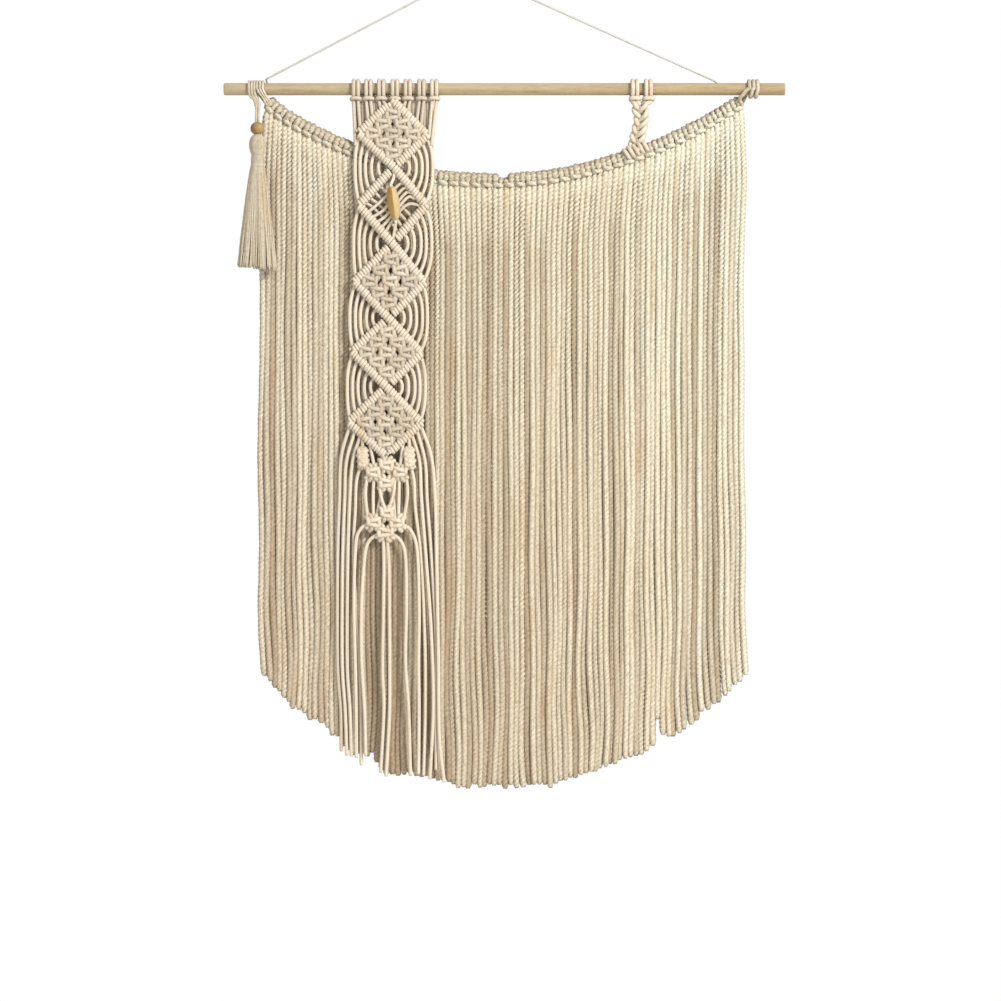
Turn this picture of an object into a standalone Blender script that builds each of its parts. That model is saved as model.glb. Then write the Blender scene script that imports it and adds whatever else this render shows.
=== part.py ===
"""Macrame wall hanging on a wooden rod, hung from one nail by a taut twine.

A swag of lark's heads with a long fringe hangs between the rod's ends. In front of it hangs a knotted column
of five diamonds. A braided strap carries the swag at the right, and a tassel hangs at the left.

The tables hold millimetres in the plan, which is the front view laid flat: across grows to the right, down
grows towards the floor, and front is the distance in front of the rod's axis. The model is in metres with
+Z up, is seen from -Y, and has its origin at the nail.
"""

import math
import random
from collections import namedtuple

import bmesh
import bpy
from mathutils import Vector

MM = 0.001
GAP = 0.35  # between pieces that touch in the real hanging
FLAT = math.radians(0.5)  # faces of a fused piece that differ by less are one face

# The nail in the plan
NAIL_ACROSS, NAIL_DOWN = 471.4, -28.0

# Rod
ROD_LEFT, ROD_RIGHT, ROD_DOWN = 223.9, 785.0, 89.2
ROD_RADIUS = 6.15
ROD_BEVEL = 0.9
ROD_SIDES = 24

# Hanging twine: its visible straight runs meet over the nail
TWINE_RADIUS = 1.1
TWINE_STEP = 9.5  # between the points of its curve
TWINE_END_FRONT = -7.7
TWINE_KNOT_RADIUS = 2.3

# Swag: a ridged bar of lark's heads along a sagging line, and the fringe's ropes
PAIRS = 46
SWAG_FRONT = -1.5
SWAG_HALF_HEIGHT = 6.8
ROPE_SHAPE = [(0.0, 2.3), (2.2, -1.6), (-2.2, -1.6)]  # a rope's corners, across and to the front
FRINGE_FRONT = -3.0
FRINGE_LEFT, FRINGE_RIGHT = 262.3, 744.0
FRINGE_SPREAD = 60.0  # the drop in which the ropes reach their even spacing
FRINGE_STEPS = 2
FRINGE_SWAY = 1.0
UNDERSIDE = 4  # the corner of the bar's outline after which its underside comes
BARE_LEFT, BARE_RIGHT = 494.0, 510.0  # here only the lower row of the bar shows
RIDGE_FLOOR = 0.35  # share of a ridge's height that its grooves keep

# Knotted column
CORD_RADIUS = 1.8
COLUMN_FRONT = 7.0
HEAD_SPREAD = 2.1  # from a head's middle to each of its two cords
BIGHT_RADIUS = 2.2
BAR_HALF_HEIGHT, BAR_HALF_DEPTH = 4.8, 4.1
BAR_RIDGES = 4
KNOT_ROWS = 3  # square knots along each side of a diamond
KNOT_HIGH, KNOT_MIDDLE, KNOT_LOW = 3.8, 2.2, 1.6  # half depths: of a knot, between two knots and of four
GAP_REACH = 0.46  # from the middle of four knots towards the places between two
FIELD_INSET = 0.86  # the knot field's size against its diamond's

# Tassel
TASSEL_ACROSS, TASSEL_FRONT = 257.9, 7.6
TASSEL_CORD_RADIUS, TASSEL_CORD_SPREAD = 1.35, 1.2
GATHER_RADIUS = 3.3  # of the place where its wraps come together below the rod
TASSEL_LOCKS = 12
BEAD_DOWN, BEAD_RADIUS, BEAD_HALF_HEIGHT = 129.2, 6.9, 6.5
BEAD_BORE = 3.0

Spot = namedtuple("Spot", "across down")
Stop = namedtuple("Stop", "across down front")

# The middle line of the swag's bar, from the left end of the rod to the right end
SWAG_LINE = [
    Spot(267.6, 102.3),
    Spot(283.0, 114.5),
    Spot(299.0, 124.3),
    Spot(325.0, 138.0),
    Spot(352.0, 149.5),
    Spot(390.0, 163.5),
    Spot(431.0, 175.8),
    Spot(460.0, 179.2),
    Spot(502.0, 180.6),
    Spot(545.0, 177.4),
    Spot(584.0, 170.2),
    Spot(619.0, 160.0),
    Spot(654.0, 148.0),
    Spot(694.0, 129.4),
    Spot(722.0, 113.4),
    Spot(741.0, 102.3),
]

# Where the fringe's tips end
FRINGE_TIPS = [
    Spot(259.0, 670.0),
    Spot(268.0, 682.0),
    Spot(283.0, 698.0),
    Spot(292.0, 708.0),
    Spot(312.0, 719.0),
    Spot(333.0, 735.0),
    Spot(338.0, 738.0),
    Spot(343.0, 752.0),
    Spot(374.0, 755.0),
    Spot(380.0, 767.0),
    Spot(388.0, 773.0),
    Spot(416.0, 775.0),
    Spot(446.0, 783.0),
    Spot(461.0, 787.0),
    Spot(543.0, 787.0),
    Spot(578.0, 778.0),
    Spot(614.0, 764.0),
    Spot(645.0, 755.0),
    Spot(653.0, 747.0),
    Spot(660.0, 731.0),
    Spot(669.0, 738.0),
    Spot(682.0, 733.0),
    Spot(708.0, 708.0),
    Spot(725.0, 695.0),
    Spot(734.0, 684.0),
    Spot(750.0, 672.0),
]

# Lark's heads on the rod: the column's seven and the strap's two
COLUMN_HEADS = [356.1, 368.6, 381.4, 395.0, 407.9, 421.6, 434.3]
STRAP_HEADS = [634.8, 648.3]
BIGHT_DOWN = 98.4

# The diamonds: their crossings from top to bottom, and their left and right corners
CROSSINGS = [
    Spot(393.2, 101.5),
    Spot(394.0, 168.0),
    Spot(392.5, 244.0),
    Spot(388.7, 318.5),
    Spot(386.5, 387.0),
    Spot(386.3, 456.0),
]
LEFT_CORNERS = [
    Spot(359.0, 134.0),
    Spot(359.0, 206.0),
    Spot(355.3, 282.2),
    Spot(352.5, 352.0),
    Spot(349.6, 422.5),
]
RIGHT_CORNERS = [
    Spot(427.0, 136.0),
    Spot(426.0, 206.0),
    Spot(424.0, 283.2),
    Spot(421.3, 353.5),
    Spot(421.0, 423.0),
]
BEAD_DIAMOND = 1  # the diamond that holds the leaf bead in place of square knots

# The cords that bow out beside a crossing: how far their middle is from it, and where they leave the bar,
# as a share of its length from the corner
Bow = namedtuple("Bow", "reach share")
BOWS = [
    Bow(39.0, 0.03),
    Bow(33.5, 0.19),
    Bow(28.3, 0.35),
    Bow(22.3, 0.52),
    Bow(15.6, 0.71),
]

# Square knots and the wrapped knots below the last diamond
Lump = namedtuple("Lump", "across down half_width half_height ridges")
LOWER_KNOTS = [
    Lump(386.6, 465.4, 7.4, 5.2, 2),
    Lump(373.4, 472.4, 7.2, 5.0, 2),
    Lump(400.4, 472.4, 7.2, 5.0, 2),
    Lump(386.8, 483.2, 7.8, 5.2, 2),
    Lump(363.0, 458.5, 4.0, 7.6, 3),
    Lump(409.6, 458.5, 4.2, 8.0, 3),
    Lump(387.0, 513.2, 6.6, 5.0, 2),
    Lump(374.0, 522.6, 7.2, 5.0, 2),
    Lump(397.2, 523.0, 7.6, 5.0, 2),
    Lump(385.6, 532.6, 8.6, 5.2, 2),
]

# Short cords between those knots, each by its ends and a middle point
LOWER_LINKS = [
    (Stop(386.4, 453.0, 7.0), Stop(386.5, 458.0, 7.2), Stop(386.6, 464.0, 7.0)),
    (Stop(362.6, 438.0, 6.6), Stop(362.8, 446.0, 7.0), Stop(363.0, 455.0, 7.0)),
    (Stop(409.0, 438.0, 6.6), Stop(409.4, 446.0, 7.0), Stop(409.6, 455.0, 7.0)),
    (Stop(369.6, 443.0, 6.6), Stop(373.0, 459.0, 7.2), Stop(374.6, 469.0, 7.0)),
    (Stop(403.2, 443.0, 6.6), Stop(401.4, 459.0, 7.2), Stop(400.0, 469.0, 7.0)),
    (Stop(367.6, 475.0, 6.6), Stop(365.7, 495.0, 6.6), Stop(368.4, 521.0, 6.8)),
    (Stop(374.2, 475.0, 6.6), Stop(373.4, 497.0, 6.6), Stop(373.8, 521.0, 6.8)),
    (Stop(399.4, 475.0, 6.6), Stop(399.0, 497.0, 6.6), Stop(398.6, 521.0, 6.8)),
    (Stop(406.2, 475.0, 6.6), Stop(407.6, 495.0, 6.6), Stop(403.6, 521.0, 6.8)),
    (Stop(378.2, 476.0, 7.0), Stop(381.4, 497.0, 9.2), Stop(386.4, 512.0, 7.4)),
    (Stop(395.4, 476.0, 7.0), Stop(393.4, 495.0, 9.2), Stop(388.0, 512.0, 7.4)),
    (Stop(384.4, 485.0, 7.0), Stop(380.4, 499.0, 5.2), Stop(376.4, 519.0, 6.4)),
    (Stop(388.8, 485.0, 7.0), Stop(393.4, 499.0, 5.2), Stop(395.6, 519.0, 6.4)),
]

# The fourteen long cords of the column, from their knot or bar to their tips
LONG_CORDS = [
    (Stop(350.4, 425.0, 6.0), Stop(341.4, 457.0, 4.2), Stop(339.6, 500.0, 3.6), Stop(337.8, 560.0, 3.6),
     Stop(338.0, 660.0, 3.4), Stop(341.0, 710.0, 3.4), Stop(341.4, 751.0, 3.4)),
    (Stop(355.2, 431.0, 6.2), Stop(346.6, 462.0, 5.0), Stop(344.9, 500.0, 4.8), Stop(342.8, 560.0, 4.8),
     Stop(342.4, 660.0, 5.4), Stop(345.4, 710.0, 5.4), Stop(347.0, 755.5, 5.4)),
    (Stop(360.4, 436.0, 6.4), Stop(352.6, 463.0, 6.0), Stop(350.0, 500.0, 5.8), Stop(348.0, 560.0, 5.8),
     Stop(347.4, 660.0, 5.8), Stop(350.2, 710.0, 5.8), Stop(351.6, 756.0, 5.8)),
    (Stop(363.0, 462.0, 6.6), Stop(356.8, 480.0, 4.6), Stop(355.4, 510.0, 3.6), Stop(353.6, 560.0, 3.4),
     Stop(359.2, 660.0, 3.4), Stop(361.0, 710.0, 3.4), Stop(361.4, 765.0, 3.4)),
    (Stop(369.0, 523.0, 7.0), Stop(360.4, 529.6, 7.0), Stop(356.0, 545.0, 6.8), Stop(354.2, 600.0, 6.8),
     Stop(355.4, 660.0, 6.8), Stop(356.4, 710.0, 6.4), Stop(356.6, 757.5, 6.4)),
    (Stop(379.0, 533.0, 7.0), Stop(368.4, 542.4, 7.2), Stop(364.4, 562.0, 7.0), Stop(361.6, 608.0, 6.8),
     Stop(361.8, 660.0, 6.6), Stop(364.8, 710.0, 7.4), Stop(366.0, 755.5, 7.0)),
    (Stop(384.0, 533.0, 7.0), Stop(383.7, 545.0, 6.4), Stop(384.0, 570.0, 6.0), Stop(383.4, 620.0, 6.0),
     Stop(382.8, 670.0, 6.0), Stop(384.0, 710.0, 6.0), Stop(380.8, 772.5, 6.0)),
    (Stop(387.0, 533.0, 7.0), Stop(387.9, 545.0, 6.4), Stop(389.3, 570.0, 6.0), Stop(389.7, 620.0, 6.0),
     Stop(389.9, 670.0, 6.0), Stop(389.6, 715.0, 6.4), Stop(386.2, 776.0, 6.6)),
    (Stop(391.4, 533.0, 7.0), Stop(401.6, 541.8, 7.2), Stop(405.8, 560.0, 7.0), Stop(406.6, 608.0, 6.8),
     Stop(405.6, 660.0, 6.6), Stop(408.8, 710.0, 6.6), Stop(410.6, 775.5, 6.6)),
    (Stop(402.6, 524.0, 7.0), Stop(411.6, 531.4, 7.0), Stop(417.4, 552.0, 6.8), Stop(419.2, 608.0, 6.6),
     Stop(418.7, 660.0, 6.6), Stop(419.1, 710.0, 6.6), Stop(418.6, 774.0, 6.6)),
    (Stop(409.6, 462.0, 6.6), Stop(414.0, 480.0, 6.0), Stop(415.6, 510.0, 4.4), Stop(421.2, 560.0, 3.6),
     Stop(424.8, 640.0, 3.4), Stop(425.2, 710.0, 3.4), Stop(423.6, 775.5, 3.4)),
    (Stop(412.4, 436.0, 6.4), Stop(419.6, 462.0, 6.0), Stop(421.6, 500.0, 5.8), Stop(426.2, 560.0, 5.6),
     Stop(431.2, 630.0, 5.6), Stop(433.4, 705.0, 5.6), Stop(430.0, 779.0, 5.6)),
    (Stop(417.2, 431.0, 6.2), Stop(425.2, 462.0, 5.0), Stop(427.2, 500.0, 4.4), Stop(431.6, 560.0, 3.4),
     Stop(435.8, 640.0, 3.2), Stop(435.6, 705.0, 3.2), Stop(436.0, 770.0, 3.2)),
    (Stop(421.0, 426.0, 6.0), Stop(431.4, 457.0, 5.2), Stop(435.2, 500.0, 5.2), Stop(436.6, 560.0, 5.6),
     Stop(438.4, 650.0, 6.2), Stop(439.4, 735.0, 6.2), Stop(444.2, 782.0, 6.2)),
]

# The cords that cross behind the leaf bead: five from the upper right lie over five from the upper left.
# Each runs between shares of the upper and the lower bar, counted from the crossings
CROSS_SHARES = [0.22, 0.37, 0.52, 0.67, 0.82]
CROSS_RADIUS = 1.55
OVER_FRONT, UNDER_FRONT = 6.9, 3.3

# Leaf bead: sections from top to bottom
Section = namedtuple("Section", "down half_width half_depth")
LEAF_TOP, LEAF_BOTTOM = Spot(391.7, 188.2), Spot(395.9, 220.8)
LEAF_FRONT = 13.2
LEAF_BORE = 1.7
LEAF_CORD_RADIUS = 1.25
LEAF_SECTIONS = [
    Section(0.0, 3.4, 2.7),
    Section(1.2, 4.4, 3.2),
    Section(9.0, 5.9, 4.0),
    Section(17.0, 6.5, 4.3),
    Section(24.5, 5.8, 4.0),
    Section(31.4, 3.9, 3.1),
    Section(32.8, 2.9, 2.5),
]

# Strap: the ridged braid from the heads down to the swag's bar
STRAP_LINE = [
    Stop(641.6, 97.8, 6.4),
    Stop(640.0, 109.6, 4.6),
    Stop(641.6, 118.6, 3.2),
    Stop(639.6, 127.6, 1.8),
    Stop(637.8, 136.6, 0.2),
    Stop(636.6, 144.6, -1.5),
]
STRAP_HALF_WIDTH, STRAP_HALF_DEPTH = 8.6, 3.6

# Tassel: head and neck, by rings of a half width and a half depth
TASSEL_RINGS = [
    Section(136.2, 3.4, 3.0),
    Section(138.0, 7.2, 5.8),
    Section(145.0, 8.7, 6.8),
    Section(152.0, 7.8, 6.2),
    Section(157.0, 6.6, 5.6),
    Section(159.5, 7.2, 6.1),
    Section(162.0, 6.6, 5.6),
    Section(164.5, 7.2, 6.1),
    Section(168.5, 6.9, 5.9),
]
SKIRT_TOP, SKIRT_BOTTOM = 165.5, 270.0
SKIRT_HALF_WIDTH, SKIRT_HALF_DEPTH = 18.6, 6.6


def place(across, down, front=0.0):
    """The world point of a point in the plan."""
    return Vector(((across - NAIL_ACROSS) * MM, -front * MM, (NAIL_DOWN - down) * MM))


def between(a, b, share):
    """The point that lies at a share of the way from a to b."""
    return type(a)(*(p + (q - p) * share for p, q in zip(a, b)))


def read_off(table, across):
    """The down value of a table of spots at a place across it."""
    if across <= table[0].across:
        return table[0].down
    for a, b in zip(table, table[1:]):
        if across <= b.across:
            return between(a, b, (across - a.across) / (b.across - a.across)).down
    return table[-1].down


def spline(points, steps):
    """Points of a smooth curve through the given ones, with some steps in each stretch."""
    first, last = points[0] * 2 - points[1], points[-1] * 2 - points[-2]
    held = [first, *points, last]
    out = []
    for i in range(1, len(held) - 2):
        a, b, c, d = held[i - 1 : i + 3]
        for j in range(steps):
            t = j / steps
            bend = (a * 2 - b * 5 + c * 4 - d) * t * t + (b * 3 - a - c * 3 + d) * t**3
            out.append(b + ((c - a) * t + bend) / 2)
    return [*out, points[-1]]


def even_spline(points, count):
    """A smooth curve through the points, as count + 1 points at even distances."""
    fine = spline(points, 24)
    lengths = [0.0]
    for a, b in zip(fine, fine[1:]):
        lengths.append(lengths[-1] + (b - a).length)
    out, i = [], 0
    for k in range(count + 1):
        goal = lengths[-1] * k / count
        while i < len(fine) - 2 and lengths[i + 1] < goal:
            i += 1
        run = lengths[i + 1] - lengths[i]
        out.append(fine[i].lerp(fine[i + 1], min((goal - lengths[i]) / run, 1.0)))
    return out


def frames(points, level):
    """For each point of a line, its direction, its side and its up, with the up kept near the given one."""
    out = []
    for i in range(len(points)):
        ahead = points[min(i + 1, len(points) - 1)] - points[max(i - 1, 0)]
        ahead.normalize()
        side = ahead.cross(level).normalized()
        out.append((ahead, side, side.cross(ahead)))
    return out


def loft(rings, name):
    """A closed solid through rings of equally many points, as an object that is not yet finished."""
    mesh = bmesh.new()
    made = [[mesh.verts.new(p) for p in ring] for ring in rings]
    count = len(made[0])
    for low, high in zip(made, made[1:]):
        for i in range(count):
            j = (i + 1) % count
            mesh.faces.new((low[i], low[j], high[j], high[i]))
    mesh.faces.new(made[0][::-1])
    mesh.faces.new(made[-1])
    bmesh.ops.recalc_face_normals(mesh, faces=mesh.faces)
    return keep(mesh, name)


def keep(mesh, name):
    """An object in the scene that holds the mesh."""
    data = bpy.data.meshes.new(name)
    mesh.to_mesh(data)
    mesh.free()
    ob = bpy.data.objects.new(name, data)
    bpy.context.scene.collection.objects.link(ob)
    return ob


def tube(points, radius, sides=4, level=Vector((0, 1, 0)), flatness=1.0):
    """A tube of few sides along points. A radius may be one number or one for each point."""
    radii = radius if isinstance(radius, list) else [radius] * len(points)
    rings = []
    for point, size, (_, side, up) in zip(points, radii, frames(points, level)):
        ring = []
        for k in range(sides):
            turn = 2 * math.pi * (k + 0.5) / sides
            ring.append(point + (side * math.cos(turn) + up * math.sin(turn) * flatness) * size * MM)
        rings.append(ring)
    return loft(rings, "tube")


def ridged(points, half_width, half_depth, ridges, sides=5, groove=0.8):
    """A bar along points with rounded ridges across it. The half depth points to the front."""
    line = even_spline(points, 2 * ridges)
    rings = []
    for i, (point, (_, side, up)) in enumerate(zip(line, frames(line, Vector((0, 1, 0))))):
        size = 1.0 if i % 2 else groove
        ring = []
        for k in range(sides):
            turn = 2 * math.pi * (k + 0.5) / sides
            across = side * (math.cos(turn) * half_width * size * MM)
            ring.append(point + across + up * (math.sin(turn) * half_depth * size * MM))
        rings.append(ring)
    return loft(rings, "bar")


def fuse(name, pieces, mode="UNION"):
    """One object from several: their union, or the first one less the others."""
    first, rest = pieces[0], pieces[1:]
    group = bpy.data.collections.new(name + "_parts")
    for piece in rest:
        group.objects.link(piece)
    step = first.modifiers.new("join", "BOOLEAN")
    step.operation = mode
    step.operand_type = "COLLECTION"
    step.collection = group
    step.solver = "EXACT"
    bpy.context.view_layer.update()
    seen = first.evaluated_get(bpy.context.evaluated_depsgraph_get())
    data = bpy.data.meshes.new_from_object(seen)
    data.name = name
    for piece in pieces:
        bpy.data.objects.remove(piece)
    bpy.data.collections.remove(group)
    mesh = bmesh.new()
    mesh.from_mesh(data)
    bmesh.ops.dissolve_limit(mesh, angle_limit=FLAT, verts=mesh.verts, edges=mesh.edges)
    mesh.to_mesh(data)
    mesh.free()
    ob = bpy.data.objects.new(name, data)
    bpy.context.scene.collection.objects.link(ob)
    return ob


def finish(ob, name, look):
    """Gives an object its name, its material and smooth shading."""
    ob.name = ob.data.name = name
    ob.data.materials.clear()
    ob.data.materials.append(look)
    if ob.type == "MESH":
        ob.data.shade_smooth()
        ob.data.set_sharp_from_angle(angle=math.radians(35))
    return ob


def look(name, colour, roughness):
    """A plain material."""
    made = bpy.data.materials.new(name)
    made.use_nodes = True
    shader = made.node_tree.nodes["Principled BSDF"]
    shader.inputs["Base Color"].default_value = (*colour, 1.0)
    shader.inputs["Roughness"].default_value = roughness
    shader.inputs["Metallic"].default_value = 0.0
    made.diffuse_color = (*colour, 1.0)
    return made


def turned(sections, across, front, sides, name):
    """A solid of round sections about an upright line, with the given half widths and half depths."""
    rings = []
    for section in sections:
        ring = []
        for k in range(sides):
            turn = 2 * math.pi * (k + 0.5) / sides
            right = math.cos(turn) * section.half_width
            ahead = math.sin(turn) * section.half_depth
            ring.append(place(across + right, section.down, front + ahead))
        rings.append(ring)
    return loft(rings, name)


def make_rod(wood):
    """The dowel, with its ends' edges rounded."""
    inner = ROD_RADIUS - ROD_BEVEL
    stations = [
        (ROD_LEFT, inner),
        (ROD_LEFT + ROD_BEVEL, ROD_RADIUS),
        (ROD_RIGHT - ROD_BEVEL, ROD_RADIUS),
        (ROD_RIGHT, inner),
    ]
    rings = []
    for across, radius in stations:
        turns = [2 * math.pi * k / ROD_SIDES for k in range(ROD_SIDES)]
        rings.append([place(across, ROD_DOWN + radius * math.cos(t), radius * math.sin(t)) for t in turns])
    return finish(loft(rings, "rod"), "rod", wood)


def around_rod(across, radius, lead_in, lead_out, count=8):
    """A line over the rod from its back to its front, between two runs of stops below it."""
    reach = ROD_RADIUS + GAP + radius + 0.3
    turn = []
    for k in range(count + 1):
        angle = math.pi * k / count
        turn.append(place(across, ROD_DOWN - reach * math.sin(angle), -reach * math.cos(angle)))
    return [*(place(*p) for p in lead_in), *turn, *(place(*p) for p in lead_out)]


def lark_head(across, leave_front):
    """The pieces of one lark's head on the rod: two cords over it and the bight in front below it."""
    pieces = []
    below = ROD_DOWN + ROD_RADIUS + 1.2
    for side in (-1, 1):
        at = across + side * HEAD_SPREAD
        back = [Stop(at, below + 3.0, leave_front - 2.0), Stop(at, below + 1.2, -4.4)]
        front = [Stop(at, below + 1.6, leave_front + 1.4)]
        path = around_rod(at, CORD_RADIUS, back, front, 4)
        pieces.append(tube(path, CORD_RADIUS, 4, Vector((1, 0, 0))))
    half = HEAD_SPREAD + 2.0
    bight = [
        place(across - half, BIGHT_DOWN + 0.4, leave_front + 1.0),
        place(across - half * 0.5, BIGHT_DOWN, leave_front + 1.8),
        place(across + half * 0.5, BIGHT_DOWN, leave_front + 1.8),
        place(across + half, BIGHT_DOWN + 0.4, leave_front + 1.0),
    ]
    sizes = [BIGHT_RADIUS * 0.8, BIGHT_RADIUS, BIGHT_RADIUS, BIGHT_RADIUS * 0.8]
    pieces.append(tube(bight, sizes, 4))
    return pieces


def bar_outline(step, across):
    """The outline of the swag's bar at one of its steps, as distances above its line and in front of it."""
    upper, lower = ((RIDGE_FLOOR, RIDGE_FLOOR), (1, 0.8), (RIDGE_FLOOR, 1), (1, 0.8))[step % 4]
    bare = BARE_LEFT < across < BARE_RIGHT
    top = 0.6 if bare else SWAG_HALF_HEIGHT - 1.2 + 1.2 * upper
    swell = 0.0 if bare else 1.6 * upper
    return [
        (top, -1.8),
        (min(3.6, top - 0.5), 2.0 + swell),
        (-1.8, 1.9),
        (-4.6, 2.0 + 1.4 * lower),
        (-SWAG_HALF_HEIGHT, 1.2),
        (-SWAG_HALF_HEIGHT, -3.0),
    ]


def rope_stops(index, foot, slope, chance):
    """The middle line of one rope of the fringe, below its foot on the bar's underside."""
    count = PAIRS * 2
    hang = FRINGE_LEFT + (FRINGE_RIGHT - FRINGE_LEFT) * index / (count - 1)
    tip = read_off(FRINGE_TIPS, hang) + chance.uniform(-2.5, 2.5)
    depth = FRINGE_FRONT + (0.35 if index % 2 else -0.35)
    stops = [Stop(foot.across, foot.down + 1.4 + ROPE_SHAPE[1][0] * abs(slope), -1.8)]
    top = foot.down + FRINGE_SPREAD
    for k in range(FRINGE_STEPS + 1):
        share = k / FRINGE_STEPS
        down = top + (tip - top) * share
        stops.append(Stop(hang + FRINGE_SWAY * share * math.sin(hang / 37.0 + down / 120.0), down, depth))
    return stops


def swag_sheet():
    """The bar with its fringe in one body: each rope grows out of two faces of the bar's underside."""
    chance = random.Random(11)
    line = even_spline([place(*spot, SWAG_FRONT) for spot in SWAG_LINE], PAIRS * 4)
    mesh = bmesh.new()
    rings = []
    turns = frames(line, Vector((0, 1, 0)))
    for i, (point, (_, side, up)) in enumerate(zip(line, turns)):
        outline = bar_outline(i, point.x / MM + NAIL_ACROSS)
        rings.append([mesh.verts.new(point + side * (h * MM) - up * (f * MM)) for h, f in outline])
    corners = len(rings[0])
    for low, high in zip(rings, rings[1:]):
        for k in range(corners):
            if k != UNDERSIDE:
                j = (k + 1) % corners
                mesh.faces.new((low[k], low[j], high[j], high[k]))
    mesh.faces.new(rings[0])
    mesh.faces.new(rings[-1])
    for index in range(PAIRS * 2):
        ahead, side, _ = turns[2 * index + 1]
        point = line[2 * index + 1] - side * (SWAG_HALF_HEIGHT * MM)
        foot = Spot(point.x / MM + NAIL_ACROSS, NAIL_DOWN - point.z / MM)
        front = [rings[2 * index + k][UNDERSIDE] for k in range(3)]
        back = [rings[2 * index + k][UNDERSIDE + 1] for k in range(3)]
        made = []
        for across, down, front_at in rope_stops(index, foot, ahead.z / ahead.x, chance):
            spots = [place(across + x, down, front_at + y) for x, y in ROPE_SHAPE]
            made.append([mesh.verts.new(spot) for spot in spots])
        a, b, c = made[0]
        mesh.faces.new((front[0], front[1], a))
        mesh.faces.new((front[1], front[2], a))
        mesh.faces.new((front[2], b, a))
        mesh.faces.new((front[2], back[2], b))
        mesh.faces.new((back[2], back[1], b))
        mesh.faces.new((back[1], c, b))
        mesh.faces.new((back[1], back[0], c))
        mesh.faces.new((back[0], front[0], c))
        mesh.faces.new((front[0], a, c))
        for low, high in zip(made, made[1:]):
            for k in range(3):
                mesh.faces.new((low[k], low[(k + 1) % 3], high[(k + 1) % 3], high[k]))
        mesh.faces.new(made[-1])
    bmesh.ops.recalc_face_normals(mesh, faces=mesh.faces)
    return keep(mesh, "sheet")


def make_swag(yarn):
    """The swag: its bar, its ropes and the cords that hold its corners to the rod."""
    pieces = [swag_sheet()]
    corners = [
        (1, SWAG_LINE[0], (256.8, 259.6, 262.3), 1.35, 2.6),
        (-1, SWAG_LINE[-1], (756.4, 752.2, 747.8), 1.9, 3.6),
    ]
    for side, spot, tops, radius, apart in corners:
        for k, across in enumerate(tops):
            low = spot.across + side * (2.2 + (k - 1) * apart * 0.62)
            down = spot.down + 1.6 - (k - 1) * apart * 0.78
            ahead = [Stop(low - side * 2.4, down - 3.2, 4.0), Stop(low, down, 0.0)]
            behind = [Stop(low, down, -2.2), Stop(low - side * 2.4, down - 3.4, -6.0)]
            path = around_rod(across, radius, behind, ahead, 4)
            sizes = [radius * 0.8] * 2 + [radius] * 5 + [radius * 0.8] * 2
            pieces.append(tube(path, sizes, 4, Vector((1, 0, 0))))
    return finish(fuse("swag", pieces), "swag", yarn)


def diamond(index):
    """The top, left, bottom and right corner of a diamond."""
    return CROSSINGS[index], LEFT_CORNERS[index], CROSSINGS[index + 1], RIGHT_CORNERS[index]


def hitch_line(first):
    """One holding cord with its hitches, which zigzags through all crossings from one side to the other."""
    points = []
    for index in range(len(LEFT_CORNERS)):
        to_left = (index % 2 == 0) == (first == "left")
        corner = (LEFT_CORNERS if to_left else RIGHT_CORNERS)[index]
        start = 0.8 if not to_left else -0.8
        top, bottom = CROSSINGS[index], CROSSINGS[index + 1]
        points.append(place(*top, COLUMN_FRONT + start))
        points.append(place(*between(top, corner, 0.5), COLUMN_FRONT))
        points.append(place(*corner, COLUMN_FRONT))
        points.append(place(*between(corner, bottom, 0.5), COLUMN_FRONT))
    last = 0.8 if to_left else -0.8
    points.append(place(*CROSSINGS[-1], COLUMN_FRONT + last))
    ridges = BAR_RIDGES * 2 * len(LEFT_CORNERS)
    return ridged(points, BAR_HALF_HEIGHT, BAR_HALF_DEPTH, ridges)


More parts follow.
